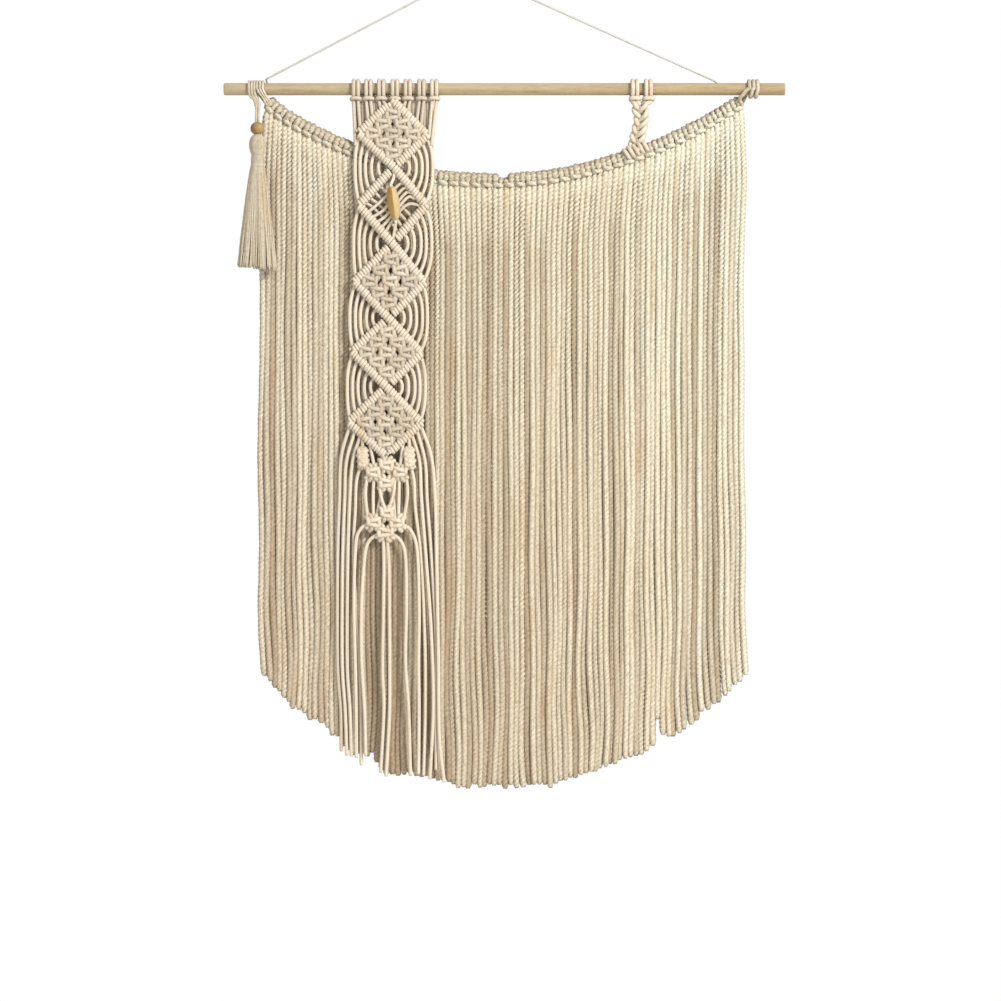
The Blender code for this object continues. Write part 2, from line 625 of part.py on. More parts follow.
def knot_field(index):
    """The field of square knots inside a diamond: one sheet with raised knots and gaps between them.

    Its grid has a knot's middle at each place where both counts are odd. A gap opens at each inner
    place where both are even.
    """
    top, left, bottom, right = diamond(index)
    middle = Spot(*((p + q + r + s) / 4 for p, q, r, s in zip(top, left, bottom, right)))
    top, left, bottom, right = (between(middle, spot, FIELD_INSET) for spot in (top, left, bottom, right))
    count = KNOT_ROWS * 2

    def at(u, v):
        near, far = between(top, left, u / count), between(right, bottom, u / count)
        return between(near, far, v / count)

    mesh = bmesh.new()
    made = {}

    def pair(spot, key):
        """The front and back vertex at a place of the grid, or a share of the way towards another one."""
        if (spot, key) not in made:
            half = (KNOT_LOW, KNOT_MIDDLE, KNOT_HIGH)[spot[0] % 2 + spot[1] % 2]
            flat = at(*spot) if spot == key else between(at(*spot), at(*key), GAP_REACH)
            made[spot, key] = [mesh.verts.new(place(*flat, COLUMN_FRONT + s * half)) for s in (1, -1)]
        return made[spot, key]

    rims = []
    for u in range(count):
        for v in range(count):
            ring = [(u, v), (u + 1, v), (u + 1, v + 1), (u, v + 1)]
            start = next(k for k in range(4) if ring[k][0] % 2 and ring[k][1] % 2)
            ring = ring[start:] + ring[:start]
            knot, before, corner, after = ring
            if 0 < corner[0] < count and 0 < corner[1] < count:
                line = [pair(before, before), pair(corner, before), pair(corner, after), pair(after, after)]
                rims.append((line[1], line[2]))
            else:
                line = [pair(before, before), pair(corner, corner), pair(after, after)]
            for one, two in ((before, corner), (corner, after)):
                if one[0] == two[0] in (0, count) or one[1] == two[1] in (0, count):
                    rims.append((pair(one, one), pair(two, two)))
            for a, b in zip(line, line[1:]):
                mesh.faces.new((pair(knot, knot)[0], a[0], b[0]))
                mesh.faces.new((pair(knot, knot)[1], b[1], a[1]))
    for a, b in rims:
        mesh.faces.new((a[0], a[1], b[1], b[0]))
    bmesh.ops.recalc_face_normals(mesh, faces=mesh.faces)
    return keep(mesh, "field")


def bow_cords(index):
    """The cords that bow out on both sides of the crossing below a diamond."""
    pieces = []
    for corners in (LEFT_CORNERS, RIGHT_CORNERS):
        crossing = CROSSINGS[index + 1]
        side = 1 if corners is RIGHT_CORNERS else -1
        for bow in BOWS:
            upper = between(corners[index], crossing, bow.share)
            lower = between(corners[index + 1], crossing, bow.share)
            stops = []
            for k in range(4):
                down = upper.down + (lower.down - upper.down) * k / 3
                end = upper if k < 2 else lower
                far = abs(down - crossing.down) / abs(end.down - crossing.down)
                reach = crossing.across + side * bow.reach
                across = reach + (end.across - reach) * far**2.4
                stops.append(place(across, down, COLUMN_FRONT - 1.2))
            pieces.append(tube(stops, CORD_RADIUS * 1.15, 4))
    return pieces


def top_cords():
    """The cords from the rod's lark's heads down to the first diamond's upper bars."""
    pieces = []
    crossing = CROSSINGS[0]
    for head in COLUMN_HEADS:
        for side in (-1, 1):
            across = head + side * HEAD_SPREAD
            left = across < crossing.across
            corner = LEFT_CORNERS[0] if left else RIGHT_CORNERS[0]
            lean = 2.4 if left else -3.0
            outer = across < 356 or across > 434
            if outer:
                goal = Spot(355.8 if left else 431.6, 146.0)
            elif abs(across - crossing.across) < 5:
                continue
            else:
                goal_across = across + lean
                share = (goal_across - crossing.across) / (corner.across - crossing.across)
                goal = between(crossing, corner, share)
            stops = [place(across, BIGHT_DOWN, COLUMN_FRONT - 0.6), place(*goal, COLUMN_FRONT - 1.0)]
            pieces.append(tube(stops, CORD_RADIUS * 1.1, 4))
    return pieces


def crossing_cords():
    """The cords that cross behind the leaf bead, and the cord that it is threaded on."""
    top, left, bottom, right = diamond(BEAD_DIAMOND)
    pieces = []
    for near, far, front in ((right, left, OVER_FRONT), (left, right, UNDER_FRONT)):
        for share in CROSS_SHARES:
            start, end = between(top, near, share), between(bottom, far, 1 - share)
            middle = between(start, end, 0.5)
            points = [
                place(*start, COLUMN_FRONT),
                place(*between(start, middle, 0.5), (COLUMN_FRONT + front) / 2),
                place(middle.across, middle.down, front),
                place(*between(middle, end, 0.5), (COLUMN_FRONT + front) / 2),
                place(*end, COLUMN_FRONT),
            ]
            pieces.append(tube(points, CROSS_RADIUS * 1.15, 4))
    threaded = [
        place(top.across + 0.6, top.down + 4, COLUMN_FRONT + 0.6),
        place(LEAF_TOP.across + 0.8, LEAF_TOP.down - 6.0, LEAF_FRONT - 1.6),
        place(*LEAF_TOP, LEAF_FRONT),
        place(*LEAF_BOTTOM, LEAF_FRONT),
        place(LEAF_BOTTOM.across + 0.2, LEAF_BOTTOM.down + 6.0, LEAF_FRONT - 1.6),
        place(bottom.across + 1.0, bottom.down - 4, COLUMN_FRONT + 0.6),
    ]
    pieces.append(tube(threaded, LEAF_CORD_RADIUS, 6))
    return pieces


def make_column(cotton):
    """The knotted column: heads, hitch bars, knot fields, bowed cords, lower knots and long cords."""
    pieces = [hitch_line("left"), hitch_line("right")]
    for index in range(len(LEFT_CORNERS)):
        if index != BEAD_DIAMOND:
            pieces.append(knot_field(index))
        if index + 1 < len(LEFT_CORNERS):
            pieces += bow_cords(index)
    pieces += crossing_cords()
    pieces += top_cords()
    for head in COLUMN_HEADS:
        pieces += lark_head(head, COLUMN_FRONT)
    for lump in LOWER_KNOTS:
        ends = [Stop(lump.across, lump.down + s * lump.half_height, COLUMN_FRONT) for s in (-1, 0, 1)]
        pieces.append(ridged([place(*p) for p in ends], lump.half_width, 3.6, lump.ridges))
    for link in LOWER_LINKS:
        pieces.append(tube([place(*p) for p in link], CORD_RADIUS * 1.1, 4))
    for cord in LONG_CORDS:
        pieces.append(tube([place(*p) for p in cord], CORD_RADIUS * 1.1, 4))
    return finish(fuse("column", pieces), "column", cotton)


def make_leaf_bead(wood):
    """The leaf bead, with its flat facets, its ridge in front and its bore."""
    axis = place(*LEAF_BOTTOM) - place(*LEAF_TOP)
    lean = axis.x / axis.z
    shape = [(-0.95, -0.45), (-0.1, -1.0), (0.95, -0.45), (0.95, 0.45), (0.1, 1.0), (-0.95, 0.45)]
    rings = []
    for section in LEAF_SECTIONS:
        down = LEAF_TOP.down + section.down - 0.1
        across = LEAF_TOP.across - (down - LEAF_TOP.down) * lean
        ring = []
        for right, back in shape:
            front = LEAF_FRONT - back * section.half_depth
            ring.append(place(across + right * section.half_width, down, front))
        rings.append(ring)
    bead = loft(rings, "bead")
    ends = [place(*between(LEAF_TOP, LEAF_BOTTOM, share), LEAF_FRONT) for share in (-0.3, 1.3)]
    return finish(fuse("leaf_bead", [bead, tube(ends, LEAF_BORE, 8)], "DIFFERENCE"), "leaf_bead", wood)


def make_strap(cotton):
    """The strap: two lark's heads and the braid that ends on the swag's bar."""
    pieces = []
    for head in STRAP_HEADS:
        pieces += lark_head(head, COLUMN_FRONT - 0.4)
    pieces.append(ridged([place(*p) for p in STRAP_LINE], STRAP_HALF_WIDTH, STRAP_HALF_DEPTH, 5))
    return finish(fuse("strap", pieces), "strap", cotton)


def make_tassel(cotton):
    """The tassel: wraps round the rod, the cord through its bead, the bound head and the skirt's locks."""
    pieces = []
    gather = Stop(TASSEL_ACROSS - 1.0, 104.4, 1.0)
    for across in (249.2, 252.0, 254.7):
        radius = 1.35
        low = gather.across + (across - 252.0) * 0.7
        ahead = [Stop(low - 1.0, gather.down - 4.4, 4.2), Stop(low, gather.down, 1.8)]
        behind = [Stop(low, gather.down, 0.2), Stop(low - 1.0, gather.down - 4.4, -4.6)]
        path = around_rod(across, radius, behind, ahead, 4)
        sizes = [radius * 0.8] * 2 + [radius] * 5 + [radius * 0.8] * 2
        pieces.append(tube(path, sizes, 4, Vector((1, 0, 0))))
    low = gather.down + 3.4
    ends = [place(gather.across, gather.down - 1.6, 1.0), place(gather.across + 0.6, low, 1.4)]
    pieces.append(tube(ends, GATHER_RADIUS, 6))
    for side in (-1, 1):
        at = TASSEL_ACROSS + side * TASSEL_CORD_SPREAD
        stops = [
            place(at - 0.4, gather.down - 1.6, 1.4),
            place(at, gather.down + 10.0, TASSEL_FRONT - 2.2),
            place(at, BEAD_DOWN - BEAD_HALF_HEIGHT - 1.5, TASSEL_FRONT),
            place(at, BEAD_DOWN + BEAD_HALF_HEIGHT + 3.0, TASSEL_FRONT),
        ]
        pieces.append(tube(stops, TASSEL_CORD_RADIUS, 5))
    pieces.append(turned(TASSEL_RINGS, TASSEL_ACROSS + 0.2, TASSEL_FRONT, 8, "head"))
    chance = random.Random(5)
    for k in range(TASSEL_LOCKS):
        turn = 2 * math.pi * (k + 0.5) / TASSEL_LOCKS
        right, ahead = math.cos(turn), math.sin(turn)
        stops, sizes = [], []
        tip = SKIRT_BOTTOM - chance.uniform(0.0, 4.0)
        for share in (0.0, 0.45, 1.0):
            down = SKIRT_TOP + (tip - SKIRT_TOP) * share
            wide = 5.4 + (SKIRT_HALF_WIDTH - 5.4) * share**0.85
            deep = 4.6 + (SKIRT_HALF_DEPTH - 4.6) * share
            front = TASSEL_FRONT + 2.0 * share + ahead * deep
            stops.append(place(TASSEL_ACROSS + right * wide, down, front))
            sizes.append(1.7 + 1.1 * share)
        pieces.append(tube(stops, sizes, 3))
    return finish(fuse("tassel", pieces), "tassel", cotton)


def make_tassel_bead(wood):
    """The round bead above the tassel, with its bore."""
    sections = []
    for k in range(7):
        angle = math.pi * (k + 0.35) / 6.7
        radius = BEAD_RADIUS * math.sin(angle)
        sections.append(Section(BEAD_DOWN - BEAD_HALF_HEIGHT * math.cos(angle), radius, radius))
    ball = turned(sections, TASSEL_ACROSS, TASSEL_FRONT, 12, "ball")
    ends = [place(TASSEL_ACROSS, BEAD_DOWN + s * 12.0, TASSEL_FRONT) for s in (-1, 1)]
    return finish(fuse("tassel_bead", [ball, tube(ends, BEAD_BORE, 8)], "DIFFERENCE"), "tassel_bead", wood)


def twine_route():
    """The twine from its left end behind the rod, over the nail, to its right end behind the rod."""
    left = [
        Stop(267.3, 85.6, TWINE_END_FRONT),
        Stop(266.6, 82.0, -7.0),
        Stop(266.1, 78.6, -3.6),
    ]
    right = [
        Stop(713.7, 80.0, -3.6),
        Stop(718.2, 82.4, -7.0),
        Stop(719.0, 86.0, TWINE_END_FRONT),
    ]
    apex = [Stop(469.6, -27.1, 0.0), Stop(471.4, -28.0, 0.0), Stop(473.2, -27.2, 0.0)]
    return [place(*p) for p in left], [place(*p) for p in apex], [place(*p) for p in right]


def make_twine(string):
    """The twine as a curve, and the knot behind the rod at each of its ends."""
    left, apex, right = twine_route()
    points = list(left)
    for a, b in ((left[-1], apex[0]), (apex[-1], right[0])):
        count = round((b - a).length / MM / TWINE_STEP)
        run = [a.lerp(b, k / count) for k in range(1, count)]
        points += run + (apex if b is apex[0] else [])
    points += right
    data = bpy.data.curves.new("hanging_twine", "CURVE")
    data.dimensions = "3D"
    data.bevel_depth = TWINE_RADIUS * MM
    data.bevel_resolution = 2
    data.use_fill_caps = True
    line = data.splines.new("POLY")
    line.points.add(len(points) - 1)
    for spot, point in zip(line.points, points):
        spot.co = (*point, 1.0)
    ob = bpy.data.objects.new("hanging_twine", data)
    bpy.context.scene.collection.objects.link(ob)
    finish(ob, "hanging_twine", string)
    for name, end in (("twine_knot_left", left[0]), ("twine_knot_right", right[-1])):
        mesh = bmesh.new()
        bmesh.ops.create_icosphere(mesh, subdivisions=1, radius=TWINE_KNOT_RADIUS * MM)
        low = TWINE_KNOT_RADIUS + GAP
        bmesh.ops.translate(mesh, verts=mesh.verts, vec=end + Vector((0, 0.0012, -low * MM)))
        finish(keep(mesh, name), name, string)


def main():
    """Builds the whole hanging in an empty scene."""
    for ob in list(bpy.data.objects):
        bpy.data.objects.remove(ob)
    wood = look("rod_wood", (0.62, 0.47, 0.31), 0.6)
    bead_wood = look("bead_wood", (0.55, 0.36, 0.17), 0.5)
    cotton = look("smooth_cord", (0.80, 0.72, 0.58), 0.9)
    yarn = look("twisted_rope", (0.74, 0.65, 0.49), 0.95)
    string = look("twine", (0.62, 0.60, 0.56), 0.85)
    make_rod(wood)
    make_twine(string)
    make_swag(yarn)
    make_column(cotton)
    make_leaf_bead(bead_wood)
    make_strap(cotton)
    make_tassel(cotton)
    make_tassel_bead(bead_wood)


main()
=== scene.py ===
"""Macrame wall hanging on a wooden rod: its strands, its materials and the studio.

The tables hold millimetres in the plan: across grows to the right, down grows towards the floor, and front is
the distance in front of the rod's axis. Paths are swept in millimetres, and meshes are made in metres.
"""

import random
from collections import namedtuple
from math import asin, atan2, cos, hypot, pi, radians, sin, sqrt

import bpy
import numpy as np
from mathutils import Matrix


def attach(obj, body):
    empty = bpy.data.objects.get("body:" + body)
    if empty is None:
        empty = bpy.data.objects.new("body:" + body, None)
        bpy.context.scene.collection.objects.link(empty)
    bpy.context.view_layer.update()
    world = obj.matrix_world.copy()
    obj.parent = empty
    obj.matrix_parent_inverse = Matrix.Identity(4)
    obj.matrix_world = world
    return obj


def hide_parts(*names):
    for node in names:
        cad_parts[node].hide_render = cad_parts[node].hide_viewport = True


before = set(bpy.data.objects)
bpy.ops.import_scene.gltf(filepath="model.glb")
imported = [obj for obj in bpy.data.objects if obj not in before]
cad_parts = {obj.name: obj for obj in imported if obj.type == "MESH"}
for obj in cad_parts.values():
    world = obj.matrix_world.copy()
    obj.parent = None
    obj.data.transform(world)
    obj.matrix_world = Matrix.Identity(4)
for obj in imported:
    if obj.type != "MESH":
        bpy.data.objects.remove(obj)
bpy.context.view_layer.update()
scene = bpy.context.scene

Spot = namedtuple("Spot", "across down")
Stop = namedtuple("Stop", "across down front")
FULL_TURN = 2 * pi
FRONT = (0.11, -1, 0.07)  # almost straight ahead, so that it lies along no strand

# The nail and the rod in the plan
NAIL_ACROSS, NAIL_DOWN = 471.4, -28
ROD_DOWN, ROD_RADIUS, ROD_GAP = 89.2, 6.15, 0.3

# Hanging twine: its route from behind the rod over the nail and back
TWINE_ROUTE = [
    (267.3, 85.6, -7.7), (266.6, 82, -7), (266.1, 78.6, -3.6), (469.6, -27.1, 0), (471.4, -28, 0),
    (473.2, -27.2, 0), (713.7, 80, -3.6), (718.2, 82.4, -7), (719, 86, -7.7)]
TWINE_RADIUS, TWINE_LEAD = 1.16, 5.2
KNOT_BELOW_END = (0, 1.2, -2.65)

# Swag: the middle line of its bar from left to right, and where its fringe's tips end
SWAG_LINE = [
    (267.6, 102.3), (283, 114.5), (299, 124.3), (325, 138), (352, 149.5), (390, 163.5), (431, 175.8),
    (460, 179.2), (502, 180.6), (545, 177.4), (584, 170.2), (619, 160), (654, 148), (694, 129.4),
    (722, 113.4), (741, 102.3)]
FRINGE_TIPS = [
    (259, 670), (268, 682), (283, 698), (292, 708), (312, 719), (333, 735), (338, 738), (343, 752),
    (374, 755), (380, 767), (388, 773), (416, 775), (446, 783), (461, 787), (543, 787), (578, 778),
    (614, 764), (645, 755), (653, 747), (656.4, 739), (656.6, 718.5), (662, 718.5), (662.2, 733), (669, 738),
    (682, 733), (708, 708), (725, 695), (734, 684), (750, 672)]
PAIRS = 46  # lark's heads, each with two ropes
SWAG_GROUPS = (range(0, 16), range(16, 31), range(31, PAIRS))
FRINGE_LEFT, FRINGE_RIGHT, FRINGE_FRONT = 262.3, 744, -3.4
FRINGE_SPREAD = 60  # the run below the bar in which the ropes reach their places
BARE_LEFT, BARE_RIGHT = 497, 508  # the notch of the bar, where the heads stay low
HOLD_HEIGHT, HOLD_FRONT, HOLD_RADIUS = 0.3, -4, 1.6
ROPE_RADIUS, HEAD_ROPE_RADIUS = 3.5, 2.6
ROPE_LEAD = 14.2  # the run in which the three plies turn once
ROPE_SHARES = [*(1 - 0.07 * k for k in range(14)), 0]  # of its length, from the tip up
TIP_SPREAD, TIP_TAPER = 2.5, (0.55, 0.82, 0.94)
SET_BACK, SET_AHEAD = (-1.7, -0.5), (0, 1.5)
BACK_SWELL, FOOT_SWELL = 0.42, 0.5  # thicken a rope that is set back, and each below the bar
# A painted shade for the column's shadow on the ropes behind it
SHADED_LEFT, SHADED_RIGHT, SHADE = 340, 432, 0.25  # the ropes behind the column are darker
PULL, PULL_LEFT, PULL_WIDTH = 3.2, 540, 204  # draws the ropes at the right inwards halfway down

# Waves of the fringe: their reach, and the runs down and across it for one radian
SLOW_WAVE, CLOTH_WAVE, TIP_WAVE = (1, 120, 37), (0.55, 70, 9), (1.7, 27, 19)
OWN_WAVE, DEPTH_WAVE, OWN_TIP_WAVE = (0.42, 38, 1), (0.6, 45, 1), (0.45, 25, 1)

# One side of a lark's head: places along the bar, above it, how much higher they are at the right side, and
# in front of the holding cord. The loop goes over that cord, or stays low at the notch
HEAD_FOOT, HEAD_FOOT_DROP = (2.6, -4.9, 0, 1.2), 5
HEAD_START, HEAD_TURN = [(2.5, -4.8, 0, 0.6)], (2.9, -3.2, 0, -3)
HEAD_REACH = HOLD_RADIUS + HEAD_ROPE_RADIUS
HEAD_OVER = [(2.6, -1.6, 0, 3.1),
             *((2.62, HOLD_HEIGHT + HEAD_REACH * sin(turn), 0, HEAD_REACH * cos(turn))
               for turn in np.radians((15, 60, 105, 150))),
             HEAD_TURN]
HEAD_LOW = [(2.7, -0.9, 0, 3.4), (2.8, 0.5, 0, 0.8), HEAD_TURN]
HEAD_END = [(3.7, -5, -0.3, 0.2), (3.9, -4.4, -0.6, 2.9), (2, -4.4, -0.4, 4.3)]
HEAD_CROWN = (0, -4.4, 0, 4.6)

# Cords wrapped round the rod at the swag's corners and the tassel
LEFT_WRAPS, RIGHT_WRAPS, TASSEL_WRAPS = (257.4, 260.3, 263.1), (749, 753.2, 757.2), (249.2, 252, 254.7)
THIN_WRAP, THICK_WRAP = 1.35, 2

# Knotted column: lark's heads on the rod
COLUMN_HEADS = [356.1, 368.6, 381.4, 395, 407.9, 421.6, 434.3]
COLUMN_FRONT = 7
CORD_RADIUS, HEAD_CORD_RADIUS = 1.8, 2.1
HEAD_SPREAD, HEAD_DOWN = 2.2, 101.8
OUTER_LEFT, OUTER_RIGHT = 356, 434  # cords outside them go past the first diamond
BACK_CORDS = np.linspace(355.6, 431.4, 22)

# The diamonds: their crossings from top to bottom, and their left and right corners
CROSSINGS = [
    Spot(393.2, 101.5), Spot(394, 168), Spot(392.5, 244), Spot(388.7, 318.5), Spot(386.5, 387),
    Spot(386.3, 456)]
LEFT_CORNERS = [Spot(359, 134), Spot(359, 206), Spot(355.3, 282.2), Spot(352.5, 352), Spot(349.6, 422.5)]
RIGHT_CORNERS = [Spot(427, 136), Spot(426, 206), Spot(424, 283.2), Spot(421.3, 353.5), Spot(421, 423)]
BEAD_DIAMOND = 1  # the diamond that holds the leaf bead in place of square knots

# A row of hitches: a coil of cord around the diamond's side
HITCH_PITCH, HITCH_SIDE, HITCH_UP, HITCH_RADIUS = 3.25, 2.9, 3.05, 1.78
OVER_LIFT, UNDER_LIFT, UNDER_START = 0.9, -0.5, 0.11  # how far in front rows pass or end at a crossing

# The cords that bow out beside a crossing: how far their middle is from it, and where they leave the bar,
# as a share of its length from the corner
BOWS = [(39, 0.03), (33.5, 0.19), (28.3, 0.35), (22.3, 0.52), (15.6, 0.71)]
BOW_STOPS, BOW_ROUNDNESS = 9, 2.6

# A square knot about its middle: the cord that starts in front, the one that starts behind, and a core cord
KNOT_FRONT_CORD = [
    (-7.6, -5.2, -0.6), (-6.2, -4.4, 0.8), (-4.2, -3.4, 2.7), (0, -2.5, 3.5), (3.3, -1.9, 2.9),
    (5, -1.1, 0.6), (5.3, 0, -0.8), (5, 1.1, 0.6), (3.3, 1.9, 2.9), (0, 2.5, 3.5), (-4.2, 3.4, 2.7),
    (-6.2, 4.4, 0.8), (-7.6, 5.2, -0.6)]
KNOT_BACK_CORD = [
    (7.6, -5.2, -0.6), (6.3, -4.6, 1.4), (5.3, -3, 3.1), (5.1, 0.4, 3.1), (4.4, 2.2, 0.6), (2.4, 1.2, -2.4),
    (-2.4, -0.8, -2.6), (-4.7, -2.4, -0.2), (-5.3, -0.8, 2.7), (-5.3, 2.4, 3.2), (-4.7, 4.2, 1.2),
    (-2, 4.8, -2), (2.4, 4.8, -2), (6, 4.2, 0.4), (7.6, 5.2, -0.6)]
KNOT_CORE_CORD = [
    (4.8, -8.2, -0.8), (3.1, -7, 0.6), (2, -5.2, 1.8), (1.8, -1, 1.4), (1.8, 1, 1.4), (2, 5.2, 1.8),
    (3.1, 7, 0.6), (4.8, 8.2, -0.8)]
KNOT_CORD_RADIUS, KNOT_LEAN = 2.35, 0.13
FIELD_SHARE, FIELD_WIDE, FIELD_TALL = 0.865, 1.12, 1.2

# Knots below the last diamond: their middles and the square knots' half widths. Wrapped knots have none
LOWER_KNOTS = [
    (386.6, 465.4, 7.4), (373.4, 472.4, 7.2), (400.4, 472.4, 7.2), (386.8, 483.2, 7.8), (363, 458.5, None),
    (409.6, 458.5, None), (387, 513.2, 6.6), (374, 522.6, 7.2), (397.2, 523, 7.6), (385.6, 532.6, 8.6)]
KNOT_HALF_WIDTH = 7.2
WRAPPED_WIDE, WRAPPED_TALL, WRAPPED_STEP = 0.58, 0.62, 5.2

# Short cords between those knots, each by its ends and a middle point
LOWER_LINKS = [
    ((386.4, 453, 7), (386.5, 458, 7.2), (386.6, 464, 7)),
    ((362.6, 438, 6.6), (362.8, 446, 7), (363, 455, 7)),
    ((409, 438, 6.6), (409.4, 446, 7), (409.6, 455, 7)),
    ((369.6, 443, 6.6), (373, 459, 7.2), (374.6, 469, 7)),
    ((403.2, 443, 6.6), (401.4, 459, 7.2), (400, 469, 7)),
    ((367.6, 475, 6.6), (365.7, 495, 6.6), (368.4, 521, 6.8)),
    ((374.2, 475, 6.6), (373.4, 497, 6.6), (373.8, 521, 6.8)),
    ((399.4, 475, 6.6), (399, 497, 6.6), (398.6, 521, 6.8)),
    ((406.2, 475, 6.6), (407.6, 495, 6.6), (403.6, 521, 6.8)),
    ((378.2, 476, 7), (381.4, 497, 9.2), (386.4, 512, 7.4)),
    ((395.4, 476, 7), (393.4, 495, 9.2), (388, 512, 7.4)),
    ((384.4, 485, 7), (380.4, 499, 5.2), (376.4, 519, 6.4)),
    ((388.8, 485, 7), (393.4, 499, 5.2), (395.6, 519, 6.4)),
]

# The fourteen long cords of the column, from their knot or bar to their tips
LONG_CORDS = [
    ((350.4, 425, 6), (341.4, 457, 4.2), (339.6, 500, 3.6), (337.8, 560, 3.6), (338, 660, 3.4),
     (341, 710, 3.4), (341.4, 751, 3.4)),
    ((355.2, 431, 6.2), (346.6, 462, 5), (344.9, 500, 4.8), (342.8, 560, 4.8), (342.4, 660, 5.4),
     (345.4, 710, 5.4), (347, 755.5, 5.4)),
    ((360.4, 436, 6.4), (352.6, 463, 6), (350, 500, 5.8), (348, 560, 5.8), (347.4, 660, 5.8),
     (350.2, 710, 5.8), (351.6, 756, 5.8)),
    ((363, 462, 6.6), (356.8, 480, 4.6), (355.4, 510, 3.6), (353.6, 560, 3.4), (359.2, 660, 3.4),
     (361, 710, 3.4), (361.4, 765, 3.4)),
    ((369, 523, 7), (360.4, 529.6, 7), (356, 545, 6.8), (354.2, 600, 6.8), (355.4, 660, 6.8),
     (356.4, 710, 6.4), (356.6, 757.5, 6.4)),
    ((379, 533, 7), (368.4, 542.4, 7.2), (364.4, 562, 7), (361.6, 608, 6.8), (361.8, 660, 6.6),
     (364.8, 710, 7.4), (366, 755.5, 7)),
    ((384, 533, 7), (383.7, 545, 6.4), (384, 570, 6), (383.4, 620, 6), (382.8, 670, 6), (384, 710, 6),
     (380.8, 772.5, 6)),
    ((387, 533, 7), (387.9, 545, 6.4), (389.3, 570, 6), (389.7, 620, 6), (389.9, 670, 6), (389.6, 715, 6.4),
     (386.2, 776, 6.6)),
    ((391.4, 533, 7), (401.6, 541.8, 7.2), (405.8, 560, 7), (406.6, 608, 6.8), (405.6, 660, 6.6),
     (408.8, 710, 6.6), (410.6, 775.5, 6.6)),
    ((402.6, 524, 7), (411.6, 531.4, 7), (417.4, 552, 6.8), (419.2, 608, 6.6), (418.7, 660, 6.6),
     (419.1, 710, 6.6), (418.6, 774, 6.6)),
    ((409.6, 462, 6.6), (414, 480, 6), (415.6, 510, 4.4), (421.2, 560, 3.6), (424.8, 640, 3.4),
     (425.2, 710, 3.4), (423.6, 775.5, 3.4)),
    ((412.4, 436, 6.4), (419.6, 462, 6), (421.6, 500, 5.8), (426.2, 560, 5.6), (431.2, 630, 5.6),
     (433.4, 705, 5.6), (430, 779, 5.6)),
    ((417.2, 431, 6.2), (425.2, 462, 5), (427.2, 500, 4.4), (431.6, 560, 3.4), (435.8, 640, 3.2),
     (435.6, 705, 3.2), (436, 770, 3.2)),
    ((421, 426, 6), (431.4, 457, 5.2), (435.2, 500, 5.2), (436.6, 560, 5.6), (438.4, 650, 6.2),
     (439.4, 735, 6.2), (444.2, 782, 6.2)),
]

# The cords that cross behind the leaf bead: five from the upper right lie over four from the upper left
OVER_CORDS = [
    ((404.5, 182), (401.5, 183.9), (397, 187.2), (383.8, 199.5), (373.6, 208.5), (366, 214.5)),
    ((411, 189), (407, 188.5), (402, 190.5), (387.6, 206.5), (382, 212.2), (369.6, 219.6)),
    ((416, 195), (411, 193.6), (405, 194.4), (389, 213.5), (381.3, 220.2), (373, 225)),
    ((420, 201), (415, 199.2), (407, 198.6), (391.2, 217.3), (385.5, 224), (378.6, 230.6)),
    ((424, 208), (417.5, 205.6), (409, 204.8), (400, 211.5), (391.5, 223.4), (384.2, 234.6)),
]
UNDER_CORDS = [
    ((379, 184.6), (384.4, 190.6), (394, 199), (403, 208), (413, 218.6), (418, 223)),
    ((373.4, 191), (380.6, 198.2), (390.6, 206.6), (399.6, 214), (409.6, 225), (413, 229)),
    ((368.2, 197), (376.8, 203.2), (386, 211), (395.6, 218.6), (403.4, 229.2), (407, 233.6)),
    ((364, 202.4), (371.6, 206.8), (382, 216.2), (391.6, 224), (397, 231), (400.4, 237.4)),
]
OVER_FRONT, UNDER_FRONT, CROSSING_RADIUS = 7.2, 3.4, 1.6

# Leaf bead: its ends, its half widths by the distance from its top, and its facets' corners
LEAF_TOP, LEAF_BOTTOM, LEAF_FRONT = Spot(391.7, 188.2), Spot(395.9, 220.8), 13.2
LEAF_WIDTHS = [(0, 3.4), (1.2, 4.4), (9, 5.9), (17, 6.5), (24.5, 5.8), (31.4, 3.9), (32.8, 2.9)]
LEAF_FACETS = [(-0.98, 0.12), (0.04, -1.12), (0.97, -0.5), (0.98, 0.30), (0, 0.9), (-0.9, 0.55)]
LEAF_RINGS, LEAF_DEPTH, LEAF_BORE, LEAF_BEVEL = 29, 0.86, 1.7, 0.06

# Round bead
BEAD_DOWN, BEAD_RADIUS, BEAD_HALF_HEIGHT, BEAD_BORE = 129.2, 7, 6.5, 2.7
BEAD_RINGS, BEAD_SIDES = 25, 48

# Strap: the braid's line from the heads down to the swag's bar, and the wraps that end it there
STRAP_HEADS = [634.8, 648.3]
STRAP_LINE = [
    (641.6, 97.8, 6.4), (640, 109.6, 4.6), (641.6, 118.6, 3.2), (639.6, 127.6, 1.8), (637.8, 136.6, 0.2),
    (636.6, 144.6, -1.5), (635.6, 150.4, 0.6)]
STRAP_WRAP_LINE = [(625.6, 154.6, -1.6), (636, 149.8, -1.6), (646.6, 145.6, -1.6)]
STRAP_TURNS, STRAP_START, STRAP_HALF_WIDTH, STRAP_WRAPS = 1.62, 0.12, 5.9, 4.5

